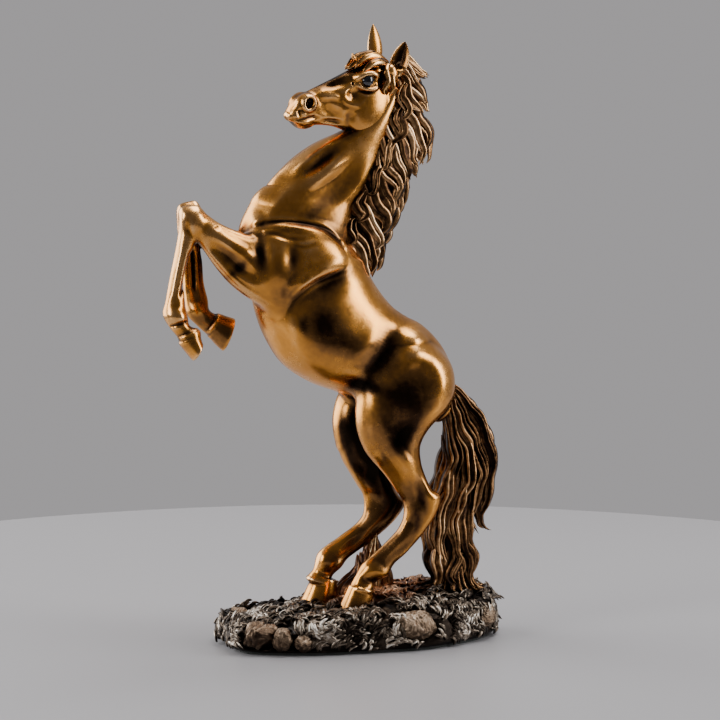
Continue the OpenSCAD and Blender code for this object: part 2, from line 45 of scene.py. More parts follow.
MM = 0.001
STEP_BODY = 0.45     # lattice pitch of the body, mm
STEP_HEAD = 0.25    # lattice pitch of the head, mm
FAR = 12.0                             # distance stored where nothing is near, mm
TINY = 1e-6                            # keeps a division away from 0
STARTED = time.time()


def say(*words):
    print("[%5.1f s]" % (time.time() - STARTED), *words)


# ---------------------------------------------------------------- curves
def smooth(rows, per):
    """A Catmull-Rom curve through rows, with per steps between two rows."""
    p = np.asarray(rows, float)
    ends = np.vstack([p[:1], p, p[-1:]])
    t = np.linspace(0, 1, per, endpoint=False)[:, None]
    out = []
    for a, b, c, d in zip(ends, ends[1:], ends[2:], ends[3:]):
        out.append(0.5 * (2 * b + (c - a) * t + (2 * a - 5 * b + 4 * c - d) * t * t
                          + (3 * b - a - 3 * c + d) * t ** 3))
    return np.vstack(out + [p[-1:]])


def ease(v):
    """0 below 0, 1 above 1, smooth between."""
    v = np.clip(v, 0, 1)
    return v * v * (3 - 2 * v)


def runs(p):
    """How far along a line each of its points lies."""
    return np.concatenate([[0], np.cumsum(np.linalg.norm(np.diff(p, axis=0), axis=1))])


def unit(v):
    """Vectors scaled to length 1."""
    return v / np.maximum(np.linalg.norm(v, axis=-1, keepdims=True), 1e-9)


def cos_sin(degrees):
    return math.cos(math.radians(degrees)), math.sin(math.radians(degrees))


# ---------------------------------------------------------------- clay: shapes as signed distance
LOFT_STEPS = 14         # steps between two sections of a loft
LOFT_MARGIN = 8         # how far round a loft the distance is worked out, mm
STROKE_STEPS = 8        # steps between two points of a stroke
LEAST_WIDTH = 0.3       # least half width of a section, mm
FADE_OUT = 1.6          # a stroke or a swell ends at this many half widths
MIDDLE_FADE = 3         # strokes fade in over this distance from the middle plane, mm
ACROSS = 1e3            # further out than any side, mm
ALONG_WEIGHT = 30       # a spot's section is picked by its distance along the chain first
POLISH_STEP = 0.3       # how far a skin point may move to reach the surface, mm
SKEW = [0.3, 0.8, 0.52]         # a direction that no large face has


class Clay:
    """Signed distance to a shape, negative inside, on a lattice in mm."""

    def __init__(self, low, high, step):
        self.step = step
        self.first = np.floor(np.asarray(low, float) / step).astype(int)
        count = np.ceil(np.asarray(high, float) / step).astype(int) - self.first + 1
        self.axes = [(self.first[i] + np.arange(count[i])) * step for i in range(3)]
        self.d = np.full(count, FAR, np.float32)

    def window(self, low, high):
        """Slices of the lattice that cover a box, and the axes there."""
        cut = []
        for i in range(3):
            a = int(np.searchsorted(self.axes[i], low[i]))
            b = int(np.searchsorted(self.axes[i], high[i]))
            cut.append(slice(max(a - 1, 0), min(b + 1, len(self.axes[i]))))
        return tuple(cut), [self.axes[i][cut[i]].astype(np.float32) for i in range(3)]

    def merge(self, cut, e, k):
        """Smooth union with e over k mm."""
        d = self.d[cut]
        if k <= 0:
            np.minimum(d, e, out=d)
            return
        h = np.clip(1 - np.abs(d - e) / k, 0, 1)
        self.d[cut] = np.minimum(d, e) - h * h * (k / 4)

    def carve(self, cut, e, k):
        """Smooth subtraction of e over k mm."""
        d = self.d[cut]
        h = np.clip(1 - np.abs(d + e) / k, 0, 1)
        self.d[cut] = np.maximum(d, -e) + h * h * (k / 4)

    def loft(self, rows, k, y0=0.0, shift=(0, 0), cap=0.6):
        """Adds a chain of elliptical sections. A row is (x, z) of one edge, (x, z) of the other, the half
        width, and the egg, which narrows the first edge. cap rounds the chain's ends."""
        r = smooth(rows, LOFT_STEPS)
        r[:, [0, 2]] += shift[0]
        r[:, [1, 3]] += shift[1]
        wide = r[:, 4].max() + LOFT_MARGIN
        low = (r[:, [0, 2]].min() - LOFT_MARGIN, y0 - wide, r[:, [1, 3]].min() - LOFT_MARGIN)
        high = (r[:, [0, 2]].max() + LOFT_MARGIN, y0 + wide, r[:, [1, 3]].max() + LOFT_MARGIN)
        cut, (x, y, z) = self.window(low, high)
        t, a, w, egg, over = chain_place(r, x, z)
        w_here = np.maximum(w * (1 - egg * np.clip(t / a, -1, 1)), LEAST_WIDTH)
        t, a, w_here, over = [v[:, None, :].astype(np.float32) for v in (t, a, w_here, over)]
        yy = (y - np.float32(y0))[None, :, None]
        s2 = (t / a) ** 2
        y2 = (yy / w_here) ** 2
        k0 = np.sqrt(s2 + y2)
        k1 = np.sqrt(s2 / (a * a) + y2 / (w_here * w_here)) + TINY
        e = k0 * (k0 - 1) / k1
        round_r = cap * np.minimum(a, w_here)
        beyond = np.sqrt(np.maximum(e + round_r, 0) ** 2 + over ** 2) - round_r
        e = np.where(over > 0, beyond, e)
        self.merge(cut, e, k)

    def clear(self, low, high):
        """Empties a box."""
        cut, _ = self.window(low, high)
        self.d[cut] = FAR

    def blob(self, at, size, k, lean=0.0, carve=False):
        """Adds or carves an ellipsoid. lean turns it about Y, in degrees."""
        reach = max(size) + k + 2
        cut, (x, y, z) = self.window([c - reach for c in at], [c + reach for c in at])
        dx, dy, dz = x[:, None, None] - at[0], y[None, :, None] - at[1], z[None, None, :] - at[2]
        c, s = cos_sin(lean)
        u, v = dx * c - dz * s, dx * s + dz * c
        q0 = np.sqrt((u / size[0]) ** 2 + (dy / size[1]) ** 2 + (v / size[2]) ** 2)
        q1 = np.sqrt((u / size[0] ** 2) ** 2 + (dy / size[1] ** 2) ** 2 + (v / size[2] ** 2) ** 2)
        e = q0 * (q0 - 1) / (q1 + TINY)
        (self.carve if carve else self.merge)(cut, e, k)

    def stroke(self, points, r, h, side=2, y_on=1.5, taper=0.45):
        """Raises (h > 0) or sinks (h < 0) the surface along a line drawn on the side, by h mm. side -1 is the
        left, 1 the right, 2 both; r is the line's half width; taper is the share that fades at each end;
        y_on is how far from the middle plane it sets in."""
        p = smooth(points, STROKE_STEPS)
        reach = FADE_OUT * r
        cut, (x, y, z) = self.window((p[:, 0].min() - reach, -ACROSS, p[:, 1].min() - reach),
                                     (p[:, 0].max() + reach, ACROSS, p[:, 1].max() + reach))
        dist, along = line_place(p, x, z)
        fade = ease(np.minimum(along, 1 - along) / taper) if taper else 1.0
        q = np.clip(dist / reach, 0, 1)
        self.press(cut, h * fade * (1 - q * q) ** 2, y, side, y_on)

    def swell(self, x, z, rx, rz, h, lean=0.0, side=2):
        """Raises or sinks a soft oval patch of the side. lean turns it, in degrees."""
        reach = 1.7 * max(rx, rz)               # a little past where it fades out
        cut, (gx, gy, gz) = self.window((x - reach, -ACROSS, z - reach), (x + reach, ACROSS, z + reach))
        q = oval(gx[:, None], gz[None, :], x, z, FADE_OUT * rx, FADE_OUT * rz, lean)
        self.press(cut, h * (1 - np.clip(q, 0, 1)) ** 2, gy, side)

    def press(self, cut, bump, y, side, y_on=1.5):
        """Moves the surface outwards by a bump that is given over X and Z."""
        gate = ease(((np.abs(y) if side == 2 else side * y) - y_on) / MIDDLE_FADE + 0.5)
        self.d[cut] -= bump.astype(np.float32)[:, None, :] * gate.astype(np.float32)[None, :, None]

    def sample(self, p):
        """The distance at points p, in mm, between lattice points by trilinear shares."""
        last = np.array(self.d.shape) - 1.001           # just short of the last lattice point
        q = np.clip(p / self.step - self.first, 0, last)
        i = q.astype(int)
        f = (q - i).astype(np.float32)
        out = 0
        for dx in (0, 1):
            for dy in (0, 1):
                for dz in (0, 1):
                    w = (f[:, 0] if dx else 1 - f[:, 0]) * (f[:, 1] if dy else 1 - f[:, 1])
                    w = w * (f[:, 2] if dz else 1 - f[:, 2])
                    out = out + w * self.d[i[:, 0] + dx, i[:, 1] + dy, i[:, 2] + dz]
        return out

    def normals(self, p):
        """The outward direction at points p, from the distances one step to each side."""
        steps = np.eye(3) * self.step
        slope = [self.sample(p + o) - self.sample(p - o) for o in steps]
        return unit(np.stack(slope, 1).astype(float))

    def skin(self, low, high):
        """(points in mm, quads) of the surface inside a box."""
        cut, _ = self.window(low, high)
        grid = openvdb.FloatGrid(FAR)
        grid.copyFromArray(np.ascontiguousarray(self.d[cut]))
        points, tris, quads = grid.convertToPolygons(isovalue=0.0, adaptivity=0.0)
        start = self.first + [c.start for c in cut]
        points = (points.astype(float) + start) * self.step
        for _ in range(2):
            off = np.clip(self.sample(points), -POLISH_STEP, POLISH_STEP)
            points -= self.normals(points) * off[:, None]
        return points, [tuple(f) for f in quads.tolist() + tris.tolist()]

    def hollows(self, p, n, reach):
        """How hollow the surface is at p: above 0 in a groove, below 0 on a ridge."""
        side = unit(np.cross(n, SKEW))
        up = np.cross(n, side)
        total = 0
        for a in np.arange(0, 2 * math.pi, math.pi / 3):
            total = total - self.sample(p + reach * (math.cos(a) * side + math.sin(a) * up))
        return total / 6 / reach

    def shut_in(self, p, n, reach):
        """0 where the surface at p is open, towards 1 where other surfaces are near it."""
        ahead = self.sample(p + reach * n)
        return np.clip(1 - ahead / reach, 0, 1)


def oval(x, z, x0, z0, rx, rz, lean):
    """0 at the middle of a leaning oval, 1 on its edge."""
    c, s = cos_sin(lean)
    u, v = (x - x0) * c + (z - z0) * s, (z - z0) * c - (x - x0) * s
    return (u / rx) ** 2 + (v / rz) ** 2


def chain_place(r, x, z):
    """Where every (x, z) lies on a chain of sections: its distance t along the section there, then that
    section's half length, half width and egg, and how far beyond the chain's ends the spot is."""
    front, back = r[:, 0:2], r[:, 2:4]
    mid, half = (front + back) / 2, (front - back) / 2
    a = np.linalg.norm(half, axis=1)
    v = half / a[:, None]
    n = np.stack([-v[:, 1], v[:, 0]], 1)
    way = np.gradient(mid, axis=0)
    n *= np.sign((n * way).sum(1) + 1e-9)[:, None]      # 1e-9, so that no section's normal is lost
    px, pz = [g.ravel() for g in np.meshgrid(x, z, indexing="ij")]
    best = np.full(len(px), np.inf)
    pick = np.zeros(len(px), int)
    s_all = np.empty((len(r), len(px)), np.float32)
    for i in range(len(r)):
        dx, dz = px - mid[i, 0], pz - mid[i, 1]
        s = dx * n[i, 0] + dz * n[i, 1]
        t = dx * v[i, 0] + dz * v[i, 1]
        s_all[i] = s
        score = ALONG_WEIGHT * s * s + t * t
        better = score < best
        best[better] = score[better]
        pick[better] = i
    column = np.arange(len(px))
    s0 = s_all[pick, column]
    other = np.clip(np.where(s0 > 0, pick + 1, pick - 1), 0, len(r) - 1)
    s1 = s_all[other, column]
    end = other == pick
    f = np.where(end, 0, s0 / np.where(np.abs(s0 - s1) < TINY, 1, s0 - s1))
    f = np.clip(f, 0, 1)
    over = np.where(end, np.abs(s0), 0)

    def mix(q):
        return q[pick] * (1 - f) + q[other] * f
    vx, vz = unit(np.stack([mix(v[:, 0]), mix(v[:, 1])], 1)).T
    t = (px - mix(mid[:, 0])) * vx + (pz - mix(mid[:, 1])) * vz
    shape = (len(x), len(z))
    return [q.reshape(shape) for q in (t, mix(a), mix(r[:, 4]), mix(r[:, 5]), over)]


def line_place(p, x, z):
    """Distance of every (x, z) from a line through p, and how far along it, 0 to 1."""
    px, pz = np.meshgrid(x, z, indexing="ij")
    best = np.full(px.shape, np.inf)
    along = np.zeros(px.shape)
    length = runs(p)
    for i in range(len(p) - 1):
        d = p[i + 1] - p[i]
        f = np.clip(((px - p[i, 0]) * d[0] + (pz - p[i, 1]) * d[1]) / max(d @ d, 1e-9), 0, 1)
        dist = np.hypot(px - p[i, 0] - f * d[0], pz - p[i, 1] - f * d[1])
        near = dist < best
        best[near] = dist[near]
        along[near] = ((length[i] + f * (length[i + 1] - length[i])) / length[-1])[near]
    return best, along


# ---------------------------------------------------------------- meshes
def new_mesh(name, points, faces, normals=None, **attributes):
    """A mesh object from points in mm, with optional point normals and per-point float attributes."""
    mesh = bpy.data.meshes.new(name)
    mesh.from_pydata((np.asarray(points) * MM).tolist(), [], faces)
    mesh.polygons.foreach_set("use_smooth", [True] * len(mesh.polygons))
    for key, values in attributes.items():
        layer = mesh.attributes.new(key, "FLOAT", "POINT")
        layer.data.foreach_set("value", np.asarray(values, np.float32))
    if normals is not None:
        mesh.normals_split_custom_set_from_vertices(np.asarray(normals).tolist())
    return new_object(name, mesh)


def new_object(name, data):
    obj = bpy.data.objects.new(name, data)
    bpy.context.scene.collection.objects.link(obj)
    return obj


def clip(points, faces, cuts):
    """Keeps the part of a mesh on the inner side of every cut plane and closes it there.
    A cut is (point, outward normal) in mm."""
    mesh = bpy.data.meshes.new("clip")
    mesh.from_pydata(points.tolist(), [], faces)
    bm = bmesh.new()
    bm.from_mesh(mesh)
    bpy.data.meshes.remove(mesh)
    for co, no in cuts:
        geom = bm.verts[:] + bm.edges[:] + bm.faces[:]
        out = bmesh.ops.bisect_plane(bm, geom=geom, dist=1e-5, plane_co=co, plane_no=no, clear_outer=True)
        edges = [e for e in out["geom_cut"] if isinstance(e, bmesh.types.BMEdge)]
        bmesh.ops.holes_fill(bm, edges=edges, sides=0)
    bm.verts.index_update()
    p = np.array([v.co[:] for v in bm.verts])
    f = [tuple(v.index for v in face.verts) for face in bm.faces]
    bm.free()
    return p, f


def seam(line, keep):
    """A cut plane through a line in the XZ plane, which keeps the side that the point keep is on."""
    (ax, az), (bx, bz) = line
    no = Vector((az - bz, 0, bx - ax)).normalized()
    if no.x * (keep[0] - ax) + no.z * (keep[1] - az) > 0:
        no = -no
    return Vector((ax, 0, az)), no


def finish_piece(obj, material, node):
    """Gives a piece its material, lets it ride on the root empty, and hides the CAD node it stands for."""
    obj.data.materials.clear()
    obj.data.materials.append(material)
    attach(obj, "root")
    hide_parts(node)


# ---------------------------------------------------------------- where things sit, in mm
NECK_SEAM = ((-61, 211), (-2, 201))
FORELEG_SEAM = ((-54.5, 176), (-61.5, 209.5))
HIND_SEAM_Z = 106
LEFT_HIND = (-3.5, 2.5)        # (x, z) shift of the left hind leg's outline
RIGHT_HIND = (3.5, -2.5)
LEFT_FORE = (-1.5, 0)
RIGHT_FORE = (3.5, -1)
RIGHT_HOOF = (-16.3, 4)
LEG_Y = 12.5                   # the middle of each leg, from the middle plane
SHOULDER_Y = 12
BODY_Y = 29                    # half the width of the block of clay that the body is made in
BODY_BLOCK = (-106, -BODY_Y, 8), (58, BODY_Y, 294)
HEAD_BLOCK = (-46, -14, 254), (26, 14, 301)
HEAD_PIVOT = Vector((12, 0, 272))
HEAD_TURN, HEAD_TILT = 15, 8
EYE = (-0.2, 5.9, 286)
EYE_R = 3.8
NOSTRIL = (-32, 7.2, 274)
FAR_DROP = 2.2                 # the right brow lies this much lower, behind the line of the nose
SOFT_JOIN, CLOSE_JOIN, HOOF_JOIN = 7, 3, 1.2        # how far two forms flow into each other
HOOF_CAP = 0.12                # a hoof ends almost flat

NECK = [
    (24, 283, 6, 268, 7, 0), (19, 266, -3, 262, 8.5, 0.1), (14.5, 254, -11, 259, 9.5, 0.15),
    (9, 241, -24, 252.5, 10.5, 0.15), (1.5, 228.5, -36.5, 243.5, 12, 0.15),
    (-4, 219, -45.5, 234.5, 13.5, 0.15), (-6, 210, -51.5, 225.5, 15, 0.15),
    (-3, 201, -56.5, 216, 17, 0.1), (2, 194, -59, 208, 18, 0)]
TRUNK = [
    (-5, 212, -54, 224, 12, 0), (-5, 203, -60, 211, 17, 0), (0, 196, -58, 197, 19.5, 0),
    (5, 189, -55.5, 183, 21, 0.05), (10, 181, -53, 170, 22.5, 0.1),
    (15, 174.5, -48, 156.5, 23.5, 0.12), (20, 169.5, -39, 143, 24, 0.12),
    (27, 165, -25, 133.5, 23, 0.08), (34, 161.5, -10, 128, 21, 0), (41, 155, 2, 124, 20, 0),
    (46, 148, 12, 118, 18.5, 0), (50, 139, 22, 113, 16, 0), (51.5, 130, 33, 111, 12.5, 0),
    (50.5, 122, 40, 112, 6, 0)]
SHOULDER = [
    (-12, 203, -10, 198, 3, 0), (-18, 208, -13, 192, 6, 0), (-28, 211.5, -21, 184, 9, 0),
    (-39, 213, -31, 175.5, 10, 0), (-50, 210, -43, 176, 9.5, 0), (-57, 206, -52, 186, 6, 0)]
THIGH = [
    (18, 150, 34, 151, 4, 0), (10, 145, 42, 146, 9.5, 0), (3, 136, 48.5, 139.5, 12.5, 0),
    (0.5, 125, 50.5, 130, 13.5, 0), (-0.5, 115, 47.5, 118, 13.5, 0), (0.5, 106, 37.5, 107.5, 12.5, 0),
    (4, 97, 33.2, 99, 11, 0.1), (9, 90, 33.3, 91, 9.5, 0.15), (15, 82.5, 35.5, 83.5, 7.8, 0.2),
    (20.5, 75.5, 39, 76.5, 6.4, 0.2), (24.5, 69.5, 44.2, 71.5, 6.2, 0.1), (25.6, 63, 41.5, 62.5, 5.6, 0),
    (22.5, 56.5, 35.5, 54, 4.7, 0), (14.5, 48.5, 26, 43.5, 4.1, 0), (8, 43, 20, 38.5, 4.2, 0),
    (3, 38.5, 16, 33, 5.2, 0), (-0.5, 33, 10.5, 29.5, 4.7, 0), (-3.5, 28, 8, 25, 5.4, 0)]
RIGHT_THIGH = [
    (12, 152, 30, 153, 4, 0), (4, 146, 38, 147, 9.5, 0), (-3, 138, 42, 141, 12.5, 0),
    (-9, 128, 41, 130, 13.5, 0), (-12.8, 116, 33.5, 118, 13.4, 0), (-12.3, 105.5, 24.5, 106.5, 12.2, 0),
    (-9, 95, 19, 96, 10.5, 0.1), (-4.5, 87.5, 17.5, 88, 9, 0.15), (0, 80, 19, 80, 7.5, 0.2),
    (3.4, 75, 22, 74.5, 6.4, 0.2), (4.2, 69.5, 25.5, 70, 6.2, 0.1), (2.2, 63.5, 20.5, 62, 5.6, 0),
    (-3, 58.3, 11.5, 54, 4.7, 0), (-11, 53, 1.5, 47, 4.1, 0), (-16, 50, -5, 42.5, 4.2, 0),
    (-20.5, 46, -8.5, 38.5, 5.2, 0), (-23, 39, -12.5, 35, 4.7, 0), (-26.5, 34, -15, 31, 5.4, 0)]
HIND_HOOF = [
    (-4.4, 27.4, 8.6, 24.2, 6, 0), (-5.6, 24.8, 8.6, 21.6, 6.3, 0),
    (-8.6, 18.5, 8.5, 16.4, 7, 0), (-11.6, 12.2, 8.3, 11.2, 7.8, 0)]
FOREARM = [
    (-33, 203, -33, 174, 5, 0), (-43, 205, -42, 170.5, 9, 0), (-52, 206, -52, 174, 9.6, 0),
    (-60.5, 209.5, -65, 183, 8.8, 0), (-67, 212, -73, 192, 7.4, 0), (-73, 215, -79, 200, 6.2, 0),
    (-78.5, 219, -84, 206, 5.6, 0), (-84, 223, -87, 209, 5.6, 0), (-89.5, 222.5, -88, 210.5, 5.2, 0)]
LEFT_CANNON = [
    (-84, 222.2, -82.5, 207, 4.6, 0), (-90.5, 220.5, -84, 205, 5.4, 0), (-92, 212, -86, 200, 4.9, 0),
    (-94, 201, -88, 193, 4.2, 0), (-97, 187, -89.7, 183, 3.9, 0),
    (-99, 176.5, -89.5, 174.5, 4.3, 0), (-100.4, 169.8, -88.2, 167.5, 5.2, 0),
    (-97.6, 164, -87.2, 164.2, 4.6, 0), (-93.8, 159.2, -84.4, 162.6, 4.6, 0),
    (-91.8, 156.4, -82.2, 161.6, 5.3, 0)]
LEFT_FORE_HOOF = [
    (-92.4, 156, -82.4, 161, 5.8, 0), (-92.4, 155, -82.2, 160.2, 6.1, 0),
    (-90.6, 152.6, -81.8, 158.6, 6.3, 0), (-86, 146.8, -81, 155.4, 7, 0)]
RIGHT_CANNON = [
    (-86, 226, -81, 210, 4.6, 0), (-92.8, 223.5, -82.2, 206, 5.4, 0), (-93.4, 214, -82.4, 201.5, 4.9, 0),
    (-92.4, 203, -81, 196, 4.3, 0), (-90.8, 188, -80.2, 185, 4.1, 0), (-90, 177, -78.2, 176.5, 4.4, 0),
    (-88.6, 168.6, -77.6, 171.6, 5.2, 0), (-84, 163.4, -75.6, 169.6, 4.6, 0),
    (-79.4, 159.2, -73.4, 168.8, 4.9, 0), (-77.4, 157.4, -71.6, 168.4, 5.3, 0)]
RIGHT_FORE_HOOF = [
    (-77.6, 157, -71.8, 168.6, 5.8, 0), (-76.6, 156, -70.8, 168.6, 6.1, 0),
    (-74.6, 153.6, -68.6, 167.8, 6.4, 0), (-71, 150.2, -64.8, 166.6, 7, 0)]


# ---------------------------------------------------------------- body
def sculpt_body():
    """The whole horse but its head, hair and tail, as one distance field."""
    clay = Clay(*BODY_BLOCK, STEP_BODY)
    clay.loft(TRUNK, k=0)
    clay.loft(NECK, k=SOFT_JOIN)
    clay.clear((-60, -BODY_Y, 270), (-1, BODY_Y, 294))      # ahead of the neck's open end
    for side in (-1, 1):
        clay.loft(SHOULDER, y0=side * SHOULDER_Y, k=5)
    legs = (-1, LEFT_HIND, LEFT_FORE, THIGH), (1, RIGHT_HIND, RIGHT_FORE, RIGHT_THIGH)
    for side, hind, fore, thigh in legs:
        clay.loft(thigh, y0=side * LEG_Y, k=SOFT_JOIN, shift=hind)
        clay.loft(FOREARM, y0=side * LEG_Y, k=5, shift=fore)
    clay.loft(LEFT_CANNON, y0=-LEG_Y, k=CLOSE_JOIN, shift=LEFT_FORE)
    clay.loft(RIGHT_CANNON, y0=LEG_Y, k=CLOSE_JOIN, shift=RIGHT_FORE)
    model_neck(clay)
    model_shoulders(clay)
    model_barrel(clay)
    model_hind_legs(clay)
    model_forelegs(clay)
    hooves = ((-1, HIND_HOOF, LEFT_HIND), (1, HIND_HOOF, RIGHT_HOOF),
              (-1, LEFT_FORE_HOOF, LEFT_FORE), (1, RIGHT_FORE_HOOF, RIGHT_FORE))
    for side, rows, shift in hooves:
        clay.loft(rows, y0=side * LEG_Y, k=HOOF_JOIN, shift=shift, cap=HOOF_CAP)
    return clay


def model_neck(clay):
    line = clay.stroke
    line([(-40, 236), (-31, 243.5), (-19, 251.5), (-9, 258)], 3.6, 2.1)
    line([(-35, 236), (-28, 241), (-20.5, 246.3), (-13, 252), (-9, 256)], 3.0, -1.3, taper=0.5)
    line([(-40, 226), (-31, 232), (-20, 238.6), (-11, 246), (-4, 254)], 3.6, 2.1)
    line([(-34, 220), (-20, 228.5), (-8, 238), (0, 250)], 6.0, -1.8, taper=0.5)
    line([(-18, 212), (-6, 222), (4, 236), (11, 252)], 6.5, 1.2)
    line([(-58, 214), (-50, 224), (-38, 237), (-22, 250)], 3.0, -0.8)
    line([(-57, 207), (-55.5, 214), (-52, 221)], 2.6, 0.9)


def model_shoulders(clay):
    line, swell = clay.stroke, clay.swell
    # two folds where the neck meets the shoulders
    fold = [(-62, 208), (-55, 213), (-43, 215), (-29, 213.4), (-19, 210), (-12, 203), (-6, 194)]
    line(fold, 1.3, -0.8, taper=0.3)
    line([(-60, 205), (-54, 210), (-43, 212.2), (-30, 210.8), (-21, 207)], 1.8, 0.5, taper=0.3)
    line([(-57, 206), (-49, 209), (-39, 206.5), (-31, 206.5), (-24, 208.5)], 1.4, -0.5)
    line([(-40, 204.4), (-32, 202.6), (-24, 205)], 1.2, -0.4)
    # the upper arm's ridge between two hollows, and the swell of the shoulder blade
    swell(-47, 195, 7, 12, 1.5, lean=-6)
    swell(-55, 197, 4.4, 10, -1.0, lean=-4)
    swell(-37.6, 197, 4.6, 9, -0.8, lean=-8)
    swell(-22, 199.5, 15, 9, 1.3, lean=-25)
    swell(-35, 187, 7, 7, 1.3)
    # the fold from the elbow to the withers, with the ribs falling away behind it
    line([(-40, 168), (-38, 176.5), (-30, 183.4), (-18, 188.5), (-4, 193.6)], 1.5, -1.0, taper=0.45)
    line([(-42, 171), (-40.5, 178.5), (-32, 186), (-20, 191.5), (-8, 196.5)], 3.6, 1.2, taper=0.45)
    line([(-33, 170), (-28, 176.5), (-19, 183), (-8, 190)], 6.0, -1.5, taper=0.5)
    line([(-41, 173), (-38.4, 166), (-35, 159), (-33, 154)], 2.4, 0.5, taper=0.5)
    for x, z, dx, dz in ((-41, 176, 4, 7), (-38.5, 179, 4, 7), (-44, 176, 2.5, 8), (-35, 183, 5, 5.5)):
        line([(x, z), (x + dx * 0.5, z + dz * 0.6), (x + dx, z + dz)], 1.6, -0.25, taper=0.5)


def model_barrel(clay):
    line, swell = clay.stroke, clay.swell
    line([(17, 166), (12, 152), (2, 139), (-5, 132)], 8.5, -3.0, taper=0.45)
    line([(-14, 139.8), (-5, 138.8), (3, 137.6)], 2.8, 0.9, taper=0.5)
    swell(-24, 160, 12, 18, 0.9, lean=-30)
    line([(-44, 166), (-40, 152), (-30, 139), (-16, 130)], 3.0, -0.7)


def model_hind_legs(clay):
    for side, dx, dz in ((-1, 0, 0), (1, -10, 1)):
        def line(points, r, h, **more):
            clay.stroke([(x + dx * leg_share(z), z + dz) for x, z in points], r, h, side=side, **more)

        def swell(x, z, rx, rz, h, lean=0):
            clay.swell(x + dx * leg_share(z), z + dz, rx, rz, h, lean=lean, side=side)
        swell(22, 152, 8, 8, 1.5, lean=-30)
        swell(24, 136, 10, 7, -1.7, lean=-20)
        swell(38, 133, 7, 13, 1.2, lean=15)
        swell(6, 122, 7, 14, 1.2, lean=6)
        line([(16, 132), (14, 121), (16, 112), (20, 104), (25, 97)], 6.0, -1.5, taper=0.6)
        swell(35, 112, 7, 9, 0.7)
        line([(9, 110), (14, 99), (20, 90), (25, 80)], 4.0, 1.2)
        line([(2, 103), (7, 95), (13, 86), (20, 77)], 2.6, -0.8)
        line([(4, 101), (6, 96), (8.6, 91)], 1.6, 0.5)
        # the tendon down to the point of the hock, and the joint's own hollows
        line([(28, 93), (27.4, 84), (29.6, 75), (31, 67), (28.6, 60)], 2.6, -1.0, taper=0.5)
        line([(34, 66), (31, 59), (24, 51.5), (15, 43.4)], 2.2, 0.5, taper=0.5)
        line([(23, 72), (21, 64), (17, 56)], 2.0, 0.6)
        line([(29, 57), (21, 49.4), (13, 43)], 1.8, -0.7, taper=0.5)
        line([(22, 57), (14, 49), (7, 42)], 1.8, 0.4)
        swell(25, 68, 4.4, 4.6, 0.7)
        # fetlock, pastern and coronet
        swell(3.8, 38.6, 4.2, 3.8, 1.0)
        swell(10, 35.6, 3.6, 3.2, 0.7)
        line([(-3.6, 34.2), (1.8, 32.2), (8, 32)], 1.8, -0.5, y_on=0, taper=0.3)
        line([(-6, 29.8), (1, 28.0), (8, 26.4)], 1.2, 0.8, y_on=0, taper=0.1)


def leg_share(z):
    """How many times its lead the right leg is ahead at a height: once by the hip, 1.9 times below."""
    return float(1 + 0.9 * ease((105 - z) / 20))


def model_forelegs(clay):
    for side, dx, dz in ((-1, 0, 0), (1, 4, 0)):
        def line(points, r, h, **more):
            clay.stroke([(x + dx, z + dz) for x, z in points], r, h, side=side, **more)
        line([(-84, 214), (-72, 206), (-60, 198.5), (-51, 190)], 2.8, 1.2)
        line([(-82, 208), (-72, 199), (-62, 190.5), (-54, 184)], 2.8, -2.0, taper=0.35)
        line([(-84, 205), (-76, 195), (-66, 184.5), (-54, 176), (-44, 170.5)], 1.8, 1.0)
        line([(-77.4, 213.4), (-74, 211)], 1.0, -0.4)
        clay.swell(-87.5 + dx, 216, 4.5, 5, 0.8, side=side)
        line([(-91.5, 219), (-90, 211), (-88, 206)], 1.5, -0.9)
    # cannons: a flat front, a groove before the tendon, then fetlock and coronet
    for side, x0, z0, x1, z1 in ((-1, -89.4, 203, -95, 176), (1, -84.5, 204, -83, 178)):
        front, back = [(x0 + 1.6, z0), (x1 + 0.9, z1)], [(x0 - 3, z0 + 2), (x1 - 3.2, z1)]
        clay.stroke(front, 1.1, -1.1, side=side, taper=0.2)
        clay.stroke(back, 1.0, 0.5, side=side, taper=0.2)
    clay.swell(-96.4, 169.6, 3.4, 3.2, 1.0, side=-1)
    clay.swell(-92.2, 168.6, 2.6, 2.8, 0.8, side=-1)
    clay.stroke([(-99, 164), (-94, 165.5), (-90, 166.5)], 1.0, -0.8, side=-1, y_on=0, taper=0.1)
    clay.stroke([(-94.6, 157.4), (-89, 160), (-83.6, 163.4)], 1.0, 0.8, side=-1, y_on=0, taper=0.1)
    clay.swell(-81, 170.8, 3.0, 3.0, 1.0, side=1)
    clay.stroke([(-75.6, 158), (-71.6, 163.4), (-68.6, 169)], 1.0, 0.8, side=1, y_on=0, taper=0.1)
